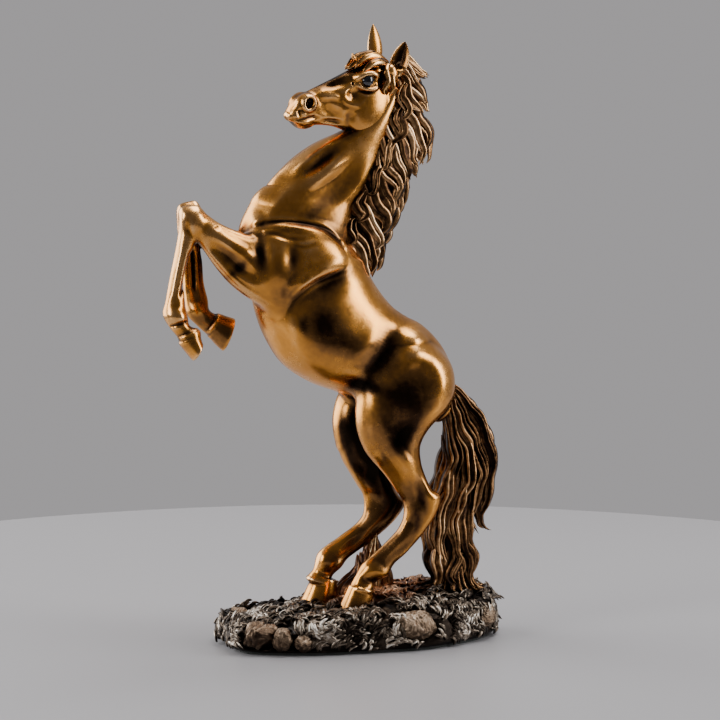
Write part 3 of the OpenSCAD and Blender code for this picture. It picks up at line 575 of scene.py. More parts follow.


# Soft patches, partly painted shade and partly dark patina: x, z, half sizes, lean and strength
SHADING = [
    (8, 148, 8, 17, -32, 0.54), (-24, 168, 8, 12, -20, 0.28), (-54.4, 197, 3.6, 9, -4, 0.45),
    (-38.6, 197, 3, 8, -8, 0.38), (-17, 185.5, 15, 4.2, 30, 0.42), (20, 130, 12, 11, -20, 0.3),
    (-2, 132.8, 11, 3.8, -18, 0.6), (12, 108, 22, 16, 0, 0.34), (12, 52, 18, 24, -50, 0.42),
    (-5, 20, 18, 6, 0, 0.3), (26, 78, 10, 12, 0, 0.3), (19, 108, 5, 12, -34, 0.42),
    (-24, 221, 15, 4.0, 38, 0.30), (-21.5, 246, 13, 4.2, 37, 0.26), (-66, 191.5, 13, 2.8, 42, 0.42),
    (-8, 150, 12, 10, -30, 0.22), (-21, 156, 11, 14, -35, 0.22), (-42, 180, 10, 8, 0, 0.24),
    (-66, 201, 13, 4, 40, 0.2), (-90, 158, 9, 9, 0, 0.3), (27, 66, 2.6, 9, -6, 0.28),
    (-92, 186, 1.8, 16, -14, 0.3), (-40, 212, 16, 2.0, 0, 0.3), (2, 34, 5, 2.4, 0, 0.2),
    (-33, 164, 3, 5, 0, 0.35), (14, 186, 5, 14, 35, 0.25), (-4, 261, 9, 4, 30, 0.65),
    (-16, 207, 10, 10, 30, 0.16), (-12, 216, 8, 20, -40, 0.18)]
SOFT_EDGE = 1.3                     # how fast a patch fades
INSIDE_HIND, INSIDE_FORE = 0.62, 0.32       # the painted shade on the inner sides of the legs
NEAR, NEAR_DARK = 7, 0.5            # the painted shade where another surface is within NEAR mm
PATINA_REACH = 1.6                  # the size of hollow that catches patina, mm


def shading(points):
    """Painted shade and dark patina at each point, 0 to about 1, with more painted shade on the inner sides
    of the hind legs and on the lower part of the right foreleg."""
    x, y, z = points.T
    total = np.zeros(len(points))
    for x0, z0, rx, rz, lean, strength in SHADING:
        total += strength * np.exp(-SOFT_EDGE * oval(x, z, x0, z0, rx, rz, lean))
    hind = ease((10 - np.abs(y)) / 5) * ease((124 - z) / 16) * ease((z - 26) / 14)
    fore = ease((14 - np.abs(y)) / 5) * (y > 0)
    fore = fore * ease((-60 - x) / 6) * ease((202 - z) / 8) * ease((x + 100) / 8)
    return np.maximum(total, np.maximum(INSIDE_HIND * hind, INSIDE_FORE * fore))


def body_pieces(clay):
    """Cuts the body into its castings along the seams, and gives each with its node's name."""
    hips, hocks, throat, belly, knees = (20, 150), (20, 60), (-20, 250), (-20, 150), (-90, 200)
    hind_seam = ((-40, HIND_SEAM_Z), (60, HIND_SEAM_Z))
    lots = [
        ("neck", (-70, -BODY_Y, 190), (40, BODY_Y, 294), [seam(NECK_SEAM, throat)]),
        ("trunk", (-70, -BODY_Y, 100), (58, BODY_Y, 230),
         [seam(NECK_SEAM, belly), seam(hind_seam, hips), seam(FORELEG_SEAM, belly)]),
        ("left_foreleg", (-106, -BODY_Y, 140), (-46, 0, 232), [seam(FORELEG_SEAM, knees)]),
        ("right_foreleg", (-106, 0, 140), (-46, BODY_Y, 232), [seam(FORELEG_SEAM, knees)]),
        ("left_hind_leg", (-32, -BODY_Y, 8), (56, -0.5, 110), [seam(hind_seam, hocks)]),
        ("right_hind_leg", (-32, 0.5, 8), (56, BODY_Y, 110), [seam(hind_seam, hocks)])]
    for name, low, high, cuts in lots:
        points, faces = clip(*clay.skin(low, high), cuts)
        normals = clay.normals(points)
        # painted shade and patina from the patches, and painted shade where other surfaces are near
        dark = shading(points) + NEAR_DARK * clay.shut_in(points, normals, NEAR)
        say(name, len(faces))
        yield name, new_mesh(name + "_cast", points, faces, normals, shade=dark,
                             hollow=clay.hollows(points, normals, PATINA_REACH))


# ---------------------------------------------------------------- head
HEAD = [
    (17, 288, 17, 271, 4, 0), (13, 293.5, 14, 265.4, 6.6, 0), (7.2, 295, 8, 259.8, 7.6, -0.15),
    (-0.7, 293.5, 0.5, 257.6, 8, -0.25), (-8.1, 290, -7, 259.6, 7, -0.2),
    (-15.6, 286.4, -14, 261.8, 5.9, -0.15), (-23.2, 282.8, -20.5, 262.6, 5, -0.05),
    (-29.8, 279.6, -26.5, 262.4, 4.9, 0), (-35.4, 276.4, -31, 261, 5.2, 0),
    (-39.2, 272.8, -35.6, 261.6, 4.6, 0), (-41.2, 269, -39, 264.6, 3, 0)]


HEAD_NEAR, HEAD_NEAR_DARK = 3, 0.4          # the painted shade in the head's narrow places
HEAD_PATINA_REACH = 0.9                     # the size of hollow that catches patina there, mm
# Painted shade on the head: a band along the front of the nose, one behind the jaw by the throat and one
# under the lower lip: x, z, half sizes, lean and strength
HEAD_SHADING = [(-17, 286.6, 20, 2.7, 24, 0.6), (16, 267, 3, 9, 0, 0.35), (-34, 262, 8, 2.4, 0, 0.4)]


def head_matrix():
    """Tilts and turns what is modelled on the straight head."""
    return (Matrix.Translation(HEAD_PIVOT) @ Matrix.Rotation(math.radians(HEAD_TURN), 4, "Z")
            @ Matrix.Rotation(math.radians(HEAD_TILT), 4, "X") @ Matrix.Translation(-HEAD_PIVOT))


def place_on_head(points):
    m = np.array(head_matrix())
    return np.asarray(points) @ m[:3, :3].T + m[:3, 3]


def turn_with_head(directions):
    return np.asarray(directions) @ np.array(head_matrix())[:3, :3].T


def sculpt_head():
    clay = Clay(*HEAD_BLOCK, STEP_HEAD)
    clay.loft(HEAD, k=0)
    for s in (-1, 1):
        clay.blob((2.6, s * 4.2, 270.6), (11.8, 4.4, 12.6), k=2.5)
        clay.blob((0.4, s * 5.2, 288.8 - FAR_DROP * (s > 0)), (7.4, 3.4, 3.2), k=2.5, lean=-14)
        clay.blob((-14, s * 3.6, 280.5), (15, 2.3, 2.5), k=2.5, lean=-14)
        clay.blob((-32.6, s * 3.2, 273.2), (5.6, 3.1, 4.6), k=3)
        clay.blob((-36, s * 2.4, 267.2), (4.6, 2.8, 3.4), k=2)
        clay.blob((14, s * 5, 288), (4, 3, 6), k=3)
    clay.blob((-31.5, 0, 263.2), (4.6, 3.8, 2.2), k=2)
    model_face(clay)
    for s in (-1, 1):
        clay.blob((EYE[0], s * (EYE[1] + 3.9), EYE[2]), (4.7, 3.6, 2.7), k=0.5, lean=-10, carve=True)
        clay.blob((NOSTRIL[0], s * NOSTRIL[1], NOSTRIL[2]), (2.1, 3.0, 2.7), k=0.6, lean=25, carve=True)
    return clay


def model_face(clay):
    line, swell = clay.stroke, clay.swell
    # nasal bone: a flat front plane and a soft edge beside it
    line([(0, 291), (-12, 287.6), (-22, 283.2), (-30, 279)], 2.2, 0.6, side=-1)
    line([(-7, 286.5), (-16, 282.8), (-25, 279.4)], 2.4, -1.1)
    # brow, lids and the creases round the eye
    for side, drop, full in ((-1, 0, 1.3), (1, FAR_DROP, 0.7)):
        lid = [(-7.4, 283.6), (-5.4, 287.8), (-0.4, 289.9), (4.4, 288.4), (6.2, 284.6)]
        line([(x, z - 0.5 * drop) for x, z in lid], 1.4, full, side=side, taper=0.3)
        crease = [(-8.4, 287.5), (-5, 291.2), (0, 292.4), (5.4, 290.8), (8, 287)]
        line([(x, z - drop) for x, z in crease], 1.0, -0.9, side=side)
    line([(-7.2, 284.8), (-3.6, 282.2), (0.4, 281.7), (4.2, 282.4), (6, 285)], 1.0, 1.0, taper=0.25)
    line([(-6.5, 281.2), (-1, 279.9), (4, 280.6)], 0.9, -0.7)
    line([(-9, 284.6), (-7.2, 283.6)], 0.8, -0.8)
    # the hollow under the eye and the fold round it
    swell(-7, 278.6, 4.2, 3.4, -1.7, lean=25)
    line([(-11.6, 283), (-12.4, 279.2), (-9.6, 275.4), (-5, 274.4), (-1, 276)], 2.2, 0.6, taper=0.5)
    # facial crest, cheek edge and soft veins
    line([(-27, 276.6), (-19, 277.4), (-12, 275.2)], 1.7, 0.6)
    line([(-21, 275), (-15, 271.6), (-9, 269.6)], 1.6, 0.3, taper=0.5)
    line([(-15, 268), (-10, 270.6), (-6, 268.4)], 1.6, 0.3, taper=0.5)
    line([(-27, 272.5), (-19, 270), (-10, 267)], 2.8, -0.8)
    line([(13, 283), (14.4, 273), (12.4, 264), (6, 259.2), (-2, 259.2)], 1.6, 0.6)
    line([(-6.5, 262), (-8.5, 269), (-6.8, 274)], 2.4, -0.8, taper=0.5)
    # nostril rim, mouth and lips
    rim = [(NOSTRIL[0] + 3.2 * math.cos(t), NOSTRIL[2] + 3.5 * math.sin(t))
           for t in np.linspace(0, 2 * math.pi, 13)]
    line(rim, 1.0, 1.0, taper=0)
    line([(-34.5, 270.6), (-36.8, 269.6), (-36.4, 267.6), (-33.4, 267)], 1.1, -0.9)
    mouth = [(-42, 266.2), (-38.4, 265.8), (-34, 266), (-29, 266.9), (-23.5, 266.6)]
    line(mouth, 0.9, -0.55, y_on=0, taper=0.3)
    line([(-41, 267.8), (-36, 268), (-31, 268.3)], 1.6, 0.5)
    line([(-40, 264), (-34, 264), (-27, 264.8)], 1.6, 0.5, y_on=0)
    line([(-34, 261.4), (-28, 262.2)], 1.4, -0.5)
    line([(-24.5, 265.8), (-16, 265), (-9.5, 264)], 1.2, -0.8)
    line([(-26, 263.4), (-17, 263.2), (-9, 262.6)], 1.1, 0.4)
    # temple and the base of the ear
    swell(8.2, 286.4, 2.2, 3.4, -1.5, lean=-20)
    line([(7.4, 283.8), (9.6, 281.6), (10.6, 278.8)], 0.9, -1.0)
    line([(10.8, 292), (12.2, 286), (14, 280.5)], 1.4, 0.8)
    line([(15, 290), (16.4, 283), (16, 276)], 1.2, -0.8)


def head_piece(clay):
    """The head's skin, with painted shade along the nose, on the chin, by the throat and in its narrow
    places.
    """
    points, faces = clay.skin(*HEAD_BLOCK)
    normals = clay.normals(points)
    x, _, z = points.T
    # painted shade where other surfaces are near, then the painted shade patches
    dark = HEAD_NEAR_DARK * clay.shut_in(points, normals, HEAD_NEAR)
    for x0, z0, rx, rz, lean, strength in HEAD_SHADING:
        dark = dark + strength * np.exp(-oval(x, z, x0, z0, rx, rz, lean))
    return new_mesh("head_cast", place_on_head(points), faces, turn_with_head(normals), shade=dark,
                    hollow=1.3 * clay.hollows(points, normals, HEAD_PATINA_REACH))


def eye_piece(side, name):
    """A ball with a raised cornea, a dark iris and a pupil, painted by the angle from its axis."""
    rings, around, cornea = 40, 48, 0.15
    look = unit(np.array([-0.18, side, 0.05]))
    e1 = unit(np.cross(look, [0, 0, 1.0]))
    e2 = np.cross(look, e1)
    centre = np.array([EYE[0], side * EYE[1], EYE[2]])
    points, angle = [centre + look * (EYE_R + cornea)], [0.0]
    for i in range(1, rings):
        t = math.pi * i / rings
        r = EYE_R + cornea * math.exp(-(t / 0.5) ** 2)
        for j in range(around):
            a = 2 * math.pi * j / around
            out = look * math.cos(t) + (e1 * math.cos(a) + e2 * math.sin(a)) * math.sin(t)
            points.append(centre + r * out)
            angle.append(t)
    points.append(centre - look * EYE_R)
    angle.append(math.pi)
    faces = [(0, 1 + j, 1 + (j + 1) % around) for j in range(around)]
    for i in range(rings - 2):
        for j in range(around):
            a, b = 1 + i * around + j, 1 + i * around + (j + 1) % around
            faces.append((a, a + around, b + around, b))
    last = len(points) - 1
    faces += [(last, last - around + (j + 1) % around, last - around + j) for j in range(around)]
    if side > 0:
        faces = [f[::-1] for f in faces]
    return fix_winding(new_mesh(name, place_on_head(points), faces, angle=angle))


def fix_winding(obj):
    """Turns every face outwards."""
    bm = bmesh.new()
    bm.from_mesh(obj.data)
    bmesh.ops.recalc_face_normals(bm, faces=bm.faces)
    bm.to_mesh(obj.data)
    bm.free()
    return obj


def ear_piece(name, root, tip, facing, width, depth):
    """A cupped, pointed leaf with a rolled rim. facing is the way its opening looks."""
    root, tip, facing = [np.array(v, float) for v in (root, tip, facing)]
    axis = tip - root
    up = unit(axis)
    facing = unit(facing - up * (facing @ up))
    side = np.cross(up, facing)
    rows, half = 50, 24
    points, hollow = [], []
    for i in range(rows):
        u = i / (rows - 1)
        pointed = (1 - max(u - 0.42, 0) ** 1.8 * 2.66) ** 0.8
        w = max(width * (0.66 + 0.34 * ease(u / 0.4)) * pointed, 0.15)
        d = depth * (1 - 0.72 * u) * (0.5 + 0.5 * min(w / width, 1))
        spine = root + axis * u - facing * (1.0 * math.sin(math.pi * u) - 1.1 * u * u)
        cup = float(ease((u - 0.12) / 0.2))
        for j in range(half):
            a = math.pi * (j / (half - 1) - 0.5)
            points.append(spine + side * w * math.sin(a) - facing * d * math.cos(a))
            hollow.append(-0.3 * abs(math.sin(a)) ** 3)
        for j in range(half):
            a = math.pi * (0.5 - (j + 0.5) / half)
            inner = d * (0.72 * cup - 0.5 * (1 - cup))
            fold = 0.1 * d * math.cos(5 * a) * cup
            points.append(spine + side * 0.86 * w * math.sin(a) - facing * (inner * math.cos(a) + fold))
            hollow.append(0.34 * cup * math.cos(a) - 0.3 * abs(math.sin(a)) ** 6)
    faces = tube_faces(rows, 2 * half, 0)
    return fix_winding(new_mesh(name, place_on_head(points), faces, hollow=hollow))


def tube_faces(rows, ring, start):
    """The faces of a closed tube through rows of ring points, numbered from start."""
    faces = [tuple(start + j for j in range(ring))[::-1]]
    for i in range(rows - 1):
        for j in range(ring):
            a, b = start + i * ring + j, start + i * ring + (j + 1) % ring
            faces.append((a, b, b + ring, a + ring))
    faces.append(tuple(start + (rows - 1) * ring + j for j in range(ring)))
    return faces


# ---------------------------------------------------------------- hair
SECTION_STEPS = 12      # steps between two sections of a mass of hair
MASS_SHARE = 0.6        # how much of that mass the plain lump under the locks fills
FINE_RIBS = 11          # fine lines round a lock
SWAY_LENGTH = 17        # a bundle sways to and fro once over this length, mm


def section_at(rows, s):
    """The section of a mass of hair at the share s of its length."""
    v = s * (len(rows) - 1)
    return np.array([np.interp(v, np.arange(len(rows)), rows[:, i]) for i in range(5)])


class Strands:
    """Collects locks of hair, or blades of grass, into one mesh."""

    def __init__(self):
        self.points, self.faces, self.hollow, self.count = [], [], [], 0

    def add(self, rings, hollow):
        rows, ring = rings.shape[:2]
        self.points.append(rings.reshape(-1, 3))
        self.hollow.append(np.asarray(hollow).ravel())
        self.faces += tube_faces(rows, ring, self.count)
        self.count += rows * ring

    def lock(self, path, width, thick, ribs=4, rib=0.2, phase=0.0, ring=24, rows=30, twist=0.0,
             across=(0, 1, 0), root=0.35, tone=0.0):
        """A leaf-shaped, combed strand along a path. across is the way its thin side faces, root is the
        share of its width at the start, and tone makes it darker above 0."""
        p = smooth(path, 10)
        length = runs(p)
        u = np.linspace(0, 1, rows)
        p = np.stack([np.interp(u * length[-1], length, p[:, i]) for i in range(3)], 1)
        way = unit(np.gradient(p, axis=0))
        a = unit(np.cross(way, across))
        b = np.cross(a, way)
        turn = (twist * (u - 0.3))[:, None]
        a, b = a * np.cos(turn) + b * np.sin(turn), b * np.cos(turn) - a * np.sin(turn)
        taper = np.maximum((root + (1 - root) * ease(u / 0.35)) * (1 - u ** 3) ** 0.7, 0.05)
        q = np.linspace(0, 2 * math.pi, ring, endpoint=False)
        wave = np.cos(ribs * q[None, :] + phase + 1.2 * u[:, None])
        fine = np.cos(FINE_RIBS * q[None, :] + 2 * phase + 2 * u[:, None])
        r = (1 + rib * wave + 0.03 * fine) * taper[:, None]
        edge = np.cos(q)[None, :] ** 6
        rings = (p[:, None] + (width * r * np.cos(q))[:, :, None] * a[:, None]
                 + (thick * r * np.sin(q))[:, :, None] * b[:, None])
        dark = 0.8 * edge - (0.45 * wave + 0.2 * fine) * (1 - edge)
        self.add(rings, tone + dark + 0.3 * (1 - u[:, None]) ** 2)

    def bundle(self, path, width, thick, rng, strands=3, sway=0.0, tones=(-0.6, 0.3), **more):
        """Uneven strands side by side that part, sway and meet again at the tip. sway is in mm."""
        p = smooth(path, 6)
        way = np.gradient(p, axis=0)
        flat = unit(np.stack([-way[:, 2], 0 * way[:, 1], way[:, 0]], 1))
        t = np.linspace(0, 1, len(p))[:, None]
        turns = 2 * math.pi * t * runs(p)[-1] / SWAY_LENGTH
        middle = np.sin(math.pi * t)
        spread = width * (0.55 + 0.45 * np.sin(math.pi * np.minimum(t * 1.3, 1))) * (1 - 0.75 * t ** 2.5)
        start = rng.uniform(0, 2 * math.pi)
        for j in range(strands):
            off = (j - (strands - 1) / 2) * 2 / strands
            aside = off * spread + sway * np.sin(start + 0.5 * j + turns) * middle ** 0.5
            side = rng.uniform(-0.6, 0.6)
            end = int(len(p) * rng.uniform(0.84, 1.0)) if j != strands // 2 else len(p)
            q = p + flat * aside + np.array([0, 1.0, 0]) * side * middle
            knots = q[:end:3] if (end - 1) % 3 == 0 else np.vstack([q[:end:3], q[end - 1]])
            self.lock(knots, 1.3 * width / strands * rng.uniform(0.7, 1.3), thick * rng.uniform(0.85, 1.2),
                      phase=rng.uniform(0, 6), twist=rng.uniform(-0.6, 0.6), tone=rng.uniform(*tones), **more)

    def mass(self, sections, low, high, count):
        """The plain lump under the locks, between the shares low and high of a mass of hair."""
        rows, ring, dark = 60, 40, 0.9
        whole = smooth(sections, SECTION_STEPS)
        part = smooth([section_at(whole, s) for s in np.linspace(low, high, count)], SECTION_STEPS)
        q = np.linspace(0, 2 * math.pi, ring, endpoint=False)
        rings = []
        for s in np.linspace(0, 1, rows):
            r = section_at(part, s)
            mid, half = (r[0:2] + r[2:4]) / 2, (r[2:4] - r[0:2]) / 2 * MASS_SHARE
            rings.append(np.stack([mid[0] + half[0] * np.cos(q), MASS_SHARE * r[4] * np.sin(q),
                                   mid[1] + half[1] * np.cos(q)], 1))
        self.add(np.array(rings), np.full((rows, ring), dark))

    def piece(self, name, on_head=False):
        points = np.vstack(self.points)
        if on_head:
            points = place_on_head(points)
        return fix_winding(new_mesh(name, points, self.faces, hollow=np.concatenate(self.hollow)))


# Masses of hair, from the top down: (x, z) of the front edge, (x, z) of the back edge, half width
MANE = [
    (20, 298, 28, 298, 3), (20, 289, 33.5, 288, 5), (18, 277, 35.5, 274, 6), (16, 266, 36, 262, 6.5),
    (13, 254, 35, 249, 7), (9, 243, 31, 237, 7.5), (4, 232, 25, 226, 8), (-2, 221, 20.5, 215, 8),
    (-5, 211, 16.5, 205, 8), (-5, 202, 12.5, 196, 7), (-1, 194, 9.5, 188, 5)]
TAIL = [
    (45, 127, 52, 131, 4), (46.5, 116, 60, 121, 5.5), (49.5, 104, 67, 108, 7), (49.5, 94, 70.5, 96, 8),
    (47, 84, 71, 84, 8.5), (43.5, 72, 69, 74, 8.5), (40, 60, 66, 62, 8.5), (38.5, 48, 62.5, 50, 8.5),
    (40, 38, 61, 40, 8.5), (42, 30, 61, 32, 9), (41, 22, 64, 22, 9)]
# Main locks of the mane as (x, z) points from root to tip, used on both sides and in the middle
MANE_LOCKS = [
    [(23, 290), (28, 284), (30.5, 277), (34, 271), (38.2, 268.4)],
    [(24, 280), (27, 272), (31, 264), (35, 257), (36.6, 249), (36, 242.4)],
    [(22, 277), (24, 268), (28, 259), (31, 250), (32, 244), (34.6, 241.4)],
    [(21, 269), (22.6, 260), (26, 251), (28.4, 244), (28.4, 238), (31, 234.8)],
    [(20, 262), (19.6, 254), (22, 246), (25, 238.6), (25, 232), (27, 228.6)],
    [(16.6, 254), (17, 246), (20.6, 238), (23.6, 231), (22.4, 224), (24, 220.6)],
    [(13, 248), (13.4, 240), (16.6, 231.6), (20.4, 224.6), (19.6, 217.6), (20.8, 214.6)],
    [(9, 240), (9.6, 232), (13, 224), (17, 217), (16.6, 210), (14.4, 206.4)],
    [(5, 232), (5.4, 224), (9, 216), (13.6, 209), (14, 203), (12.4, 199.6)],
    [(1, 224), (1.6, 216), (5, 207.6), (9.6, 200.6), (11, 194), (9.8, 188)],
    [(-3, 216), (-2.4, 208), (1, 200.4), (5, 194), (7.4, 188.6), (7.8, 184.6)],
    [(-5, 209), (-4.4, 203), (-1, 197.4), (2.4, 192.4), (4, 188.4)]]
# Short curls that lie on the neck in front of the main locks
NECK_CURLS = [
    [(24, 284), (22.4, 277), (23.4, 270.6), (20.6, 266), (18.4, 265.6)],
    [(22.6, 272), (20.6, 265.6), (21.6, 259.6), (17.6, 255), (14.6, 254.4)],
    [(18.6, 258), (16, 251.6), (15.6, 246), (12, 242), (9.6, 241.4)],
    [(11.6, 245), (9.4, 239), (9, 233.4), (5.6, 229.4), (3.8, 229)],
    [(3.6, 230), (1.6, 224), (1.4, 218.4), (-2, 214.4)],
    [(-2.4, 216), (-4.2, 210.4), (-4, 205.4), (-5.6, 201.6)]]
POLL_TUFT = [[(20, 293), (24, 296.4), (28.4, 295), (32.6, 289.6), (38, 288)],
             [(20, 290.6), (25, 293.4), (29, 290), (31.6, 284.6), (34.6, 282.6)]]


MANE_BREAKS = 263, 228          # roots above the first are in the upper mane, below the second in the lower


def mane_groups():
    """Three groups of locks, one for each mane casting."""
    rng = np.random.default_rng(11)
    groups = [Strands(), Strands(), Strands()]
    for group, low, high in zip(groups, (0, 0.3, 0.62), (0.38, 0.7, 0.97)):
        group.mass(MANE, low, high, 12)

    def put(line, y0, y1, width, thick, shift=(0, 0), **more):
        """Lays a bundle along a line, from y0 at the root to y1 at the tip."""
        y = np.linspace(y0, y1, len(line))
        bow = 1.1 * np.sin(np.linspace(0, 2 * math.pi, len(line)))
        path = [(x + shift[0] - b, yy, z + shift[1]) for (x, z), yy, b in zip(line, y, bow)]
        group = groups[sum(line[0][1] <= z for z in MANE_BREAKS)]
        group.bundle(path, width, thick, rng, sway=1.1, ribs=3, rib=0.14, **more)
    for i, line in enumerate(MANE_LOCKS):
        deep = 5.6 if i > 1 else 4.6
        put(line, 0, 0.8 * (-1) ** i, 5.0, 2.2, shift=(0, 1.5), strands=2)
        for side in (-1, 1):
            put(line, side * (deep - 3.4), side * (deep - 1.6), 4.8, 2.2, shift=(-1.8, 5.5), strands=2)
            put(line, side * (deep - 2.0), side * (deep + 0.4), 4.4, 2.2, shift=(-5.0, 0.5), strands=2)
    for line in NECK_CURLS:
        for side in (-1, 1):
            put(line, side * 5.6, side * 6.6, 2.6, 1.7, strands=2)
    for line in POLL_TUFT:
        for y in (-3, 0, 3):
            put(line, y, y * 0.6, 3.2, 1.9, shift=(-abs(y) * 0.4, -abs(y) * 0.4))
    return groups


# Main streams of the tail, from root to tip
TAIL_LOCKS = [
    [(50, 129), (56, 122), (62.5, 113.6), (68.4, 102), (70.4, 88), (67.8, 75), (65, 63.6), (66.2, 57),
     (70, 54.6)],
    [(49, 126), (54, 116), (59, 107), (63.4, 97), (64.8, 84), (62, 72), (60.4, 61), (63.6, 53)],
    [(48, 123), (50.4, 113), (54, 103), (57, 92), (55.6, 80), (52.6, 68), (55, 54.6), (60, 44), (61.4, 36)],
    [(46.6, 119), (49, 108), (50.4, 98), (48.8, 87), (43.6, 75), (39.4, 64.4), (37.8, 53), (40, 41),
     (42, 29)],
    [(47, 104), (49, 92), (47.6, 80), (45, 68), (43.4, 56), (43.4, 44), (46, 33), (45, 25)],
    [(54, 90), (53.6, 78), (50, 66), (49, 55), (52.4, 44), (54.6, 35), (51, 27)],
    [(58, 80), (58.4, 70), (56, 60), (57.4, 50), (60.6, 41), (58.6, 32), (62, 25.4), (67.4, 24.4)],
    [(50, 50), (50.6, 41), (49, 32), (52, 26.4), (58.4, 23.6)],
    [(42, 50), (41, 40), (43, 31), (41, 25), (36.6, 22.6)]]


GROUND_LOCKS = 16           # locks that spread where the tail meets the ground


def tail_strands():
    """Streams on both sides and down the middle, then the ends that spread on the ground."""
    rng = np.random.default_rng(5)
    group = Strands()
    group.mass(TAIL, 0.02, 0.98, 24)
    for i, line in enumerate(TAIL_LOCKS):
        for side, shift, wide in ((-1, 0.8, 3.9), (1, -0.8, 3.9), (0, 0.3, 4.4)):
            path = []
            for n, (x, z) in enumerate(line):
                w = 3.6 + 3.2 * float(ease((128 - z) / 60))
                y = side * w * (1 - 0.16 * math.sin(1.9 * n + 2 * i))
                path.append((x + shift * math.sin(1.6 * n + i), y, z))
            group.bundle(path, wide, 2.3, rng, sway=0.8, tones=(-0.35, 0.35), ribs=3, rib=0.12, rows=60,
                         root=0.5 if i < 3 else 0.12)
    for i in range(GROUND_LOCKS):
        a = 2 * math.pi * (i + rng.uniform(-0.3, 0.3)) / GROUND_LOCKS
        c, s = math.cos(a), math.sin(a)
        path = [(51.5 + 6 * c, 5 * s, 46), (51.5 + 7 * c, 5.6 * s, 36), (52 + 9 * c, 7 * s, 28.4),
                (53 + 12 * c, 9.6 * s, 24.4), (54 + 14.5 * c, 11.6 * s, 25)]
        group.lock(path, 2.5, 1.7, phase=i, twist=rng.uniform(-0.8, 0.8), across=(c, s, 0.2))
    return group


# Tufts combed forward between the ears, one that curls up, and two beside the near ear: path, width
FORELOCK = [
    ([(13, -2, 292), (8, -5, 294.6), (2, -7, 294.2), (-2.4, -7.6, 291.4), (-3.6, -7.4, 289.4)], 2.6),
    ([(13, -1, 293.6), (6, -2.6, 296.8), (0, -4, 296.6), (-5, -4.6, 293.6), (-7, -4.6, 291.4)], 2.9),
    ([(13, 0, 294.4), (6, 0, 297.8), (0, -0.6, 297.6), (-5.6, -1.6, 296), (-7.4, -2, 299)], 2.5),
    ([(13, 2, 293), (5, 3, 296.4), (-2, 3, 296), (-7, 2, 292.4), (-9, 1.6, 290.2)], 3.0),
    ([(12, 0, 291), (4, -1, 295), (-3, -1.6, 294.6), (-8.6, -2, 291.4), (-11, -2, 292.6)], 2.6),
    ([(12, 3, 291), (6, 5.6, 294), (1, 7, 292.6), (-2, 7.6, 289.6)], 2.6),
    ([(12, -5, 293.6), (9.4, -8, 290.6), (10.4, -9, 286), (8.4, -8.6, 281.6), (9.6, -8.2, 279)], 1.9),
    ([(14, -6, 291), (12.8, -8.4, 287), (13.6, -8.6, 282.6), (11.8, -8, 278.6)], 1.7)]


def forelock_strands():
    """The forelock on the straight head, with less patina in its hollows than the mane."""
    group = Strands()
    for path, wide in FORELOCK:
        group.lock(path, wide, wide * 0.8, ribs=3, rib=0.09, phase=wide * 9, twist=0.9, root=0.8, tone=-0.25)
    group.hollow = [0.55 * h for h in group.hollow]
    return group


# ---------------------------------------------------------------- base
BASE_L, BASE_W, FELT = 147, 74, 1.5
FOOT = 3.0                  # height of the smooth foot, mm
WALL = 0.3                  # the share of base_point that is wall
FOOT_SHARE, TOP_SHARE = 0.975, 0.93         # the size of the wall's foot and top against the outline
ROOT_CLEAR, BLADE_CLEAR = 1.25, 1.05        # how far grass stays off a stone, in near_stone's measure
GRASS_Y = 38.6, 36.8        # how far the grass may reach to the left and to the right, mm
TUFTS = 640
BLADES = 7                  # blades in a tuft
ON_WALL = 0.58              # the share of tufts that grow on the wall
CLUMP_BLADES = 34
STONES = [      # x, y, z, then half length, depth and height, then turn
    (-56, -22, 9, 9.5, 7.5, 7.5, 10), (-46, -28, 7.5, 5.8, 5.4, 6, 0), (-35, -31.5, 6.5, 6.4, 5, 4.8, 15),
    (20.5, -30, 11, 13, 8.6, 8.4, -6), (62, -14, 12, 7.6, 7.8, 7.8, 30), (-60, 16, 10, 7.6, 7.5, 6.8, 60)]


def ground(x, y):
    """The height of the mound, mm."""
    return 12 + 13 * np.exp(-((x - 40) / 70) ** 2 - ((y - 6) / 45) ** 2)


def outline(a, share=1.0):
    """The wavy oval of the base at angles a, in radians."""
    d = np.degrees(a)
    wave = (1 + 0.03 * np.sin(np.radians(3 * d + 40)) + 0.025 * np.sin(np.radians(5 * d + 100))
            + 0.012 * np.sin(np.radians(9 * d)))
    squash = 1 / (np.abs(np.cos(a)) ** 2.5 + np.abs(np.sin(a)) ** 2.5) ** 0.4
    scale = share * wave * squash / 2
    return scale * BASE_L * np.cos(a), scale * BASE_W * np.sin(a)


def lumps(x, y, size, seed):
    """Smooth bumps between about -1 and 1."""
    rng = np.random.default_rng(seed)
    total = 0
    for _ in range(6):
        kx, ky, ph = rng.normal(0, 1 / size), rng.normal(0, 1 / size), rng.uniform(0, 6.3)
        total = total + np.sin(kx * x + ky * y + ph)
    return total / 3


def base_point(a, v):
    """A point on the base's wall and top: v is 0 at the foot of the wall and 1 in the middle."""
    a, v = np.asarray(a, float), np.asarray(v, float)
    climb = np.clip(v / WALL, 0, 1)
    wall = FOOT_SHARE - (FOOT_SHARE - TOP_SHARE) * climb ** 1.5
    share = np.where(v < WALL, wall, TOP_SHARE * (1 - (v - WALL) / (1 - WALL)))
    x, y = outline(a, np.maximum(share, 0.001))
    rise = 0.9 + 0.1 * ease((v - WALL) / 0.25)
    z = FOOT + (ground(x, y) * rise - FOOT) * np.sin(climb * math.pi / 2) ** 0.85
    grow = 1 + 0.012 * lumps(a * 60, z, 9, 2) * (climb < 1)
    z = z + (1.1 * lumps(x, y, 5, 3) + 0.5 * lumps(x, y, 2.2, 4)) * ease((climb - 0.3) / 0.7)
    return np.stack([x * grow, y * grow, z], -1)


def near_stone(p):
    """Below 1 inside a stone."""
    best = np.full(p.shape[:-1], 9.0)
    for sx, sy, sz, l, d, h, turn in STONES:
        flat = oval(p[..., 0], p[..., 1], sx, sy, l, d, turn)
        best = np.minimum(best, flat + ((p[..., 2] - sz) / h) ** 2)
    return best


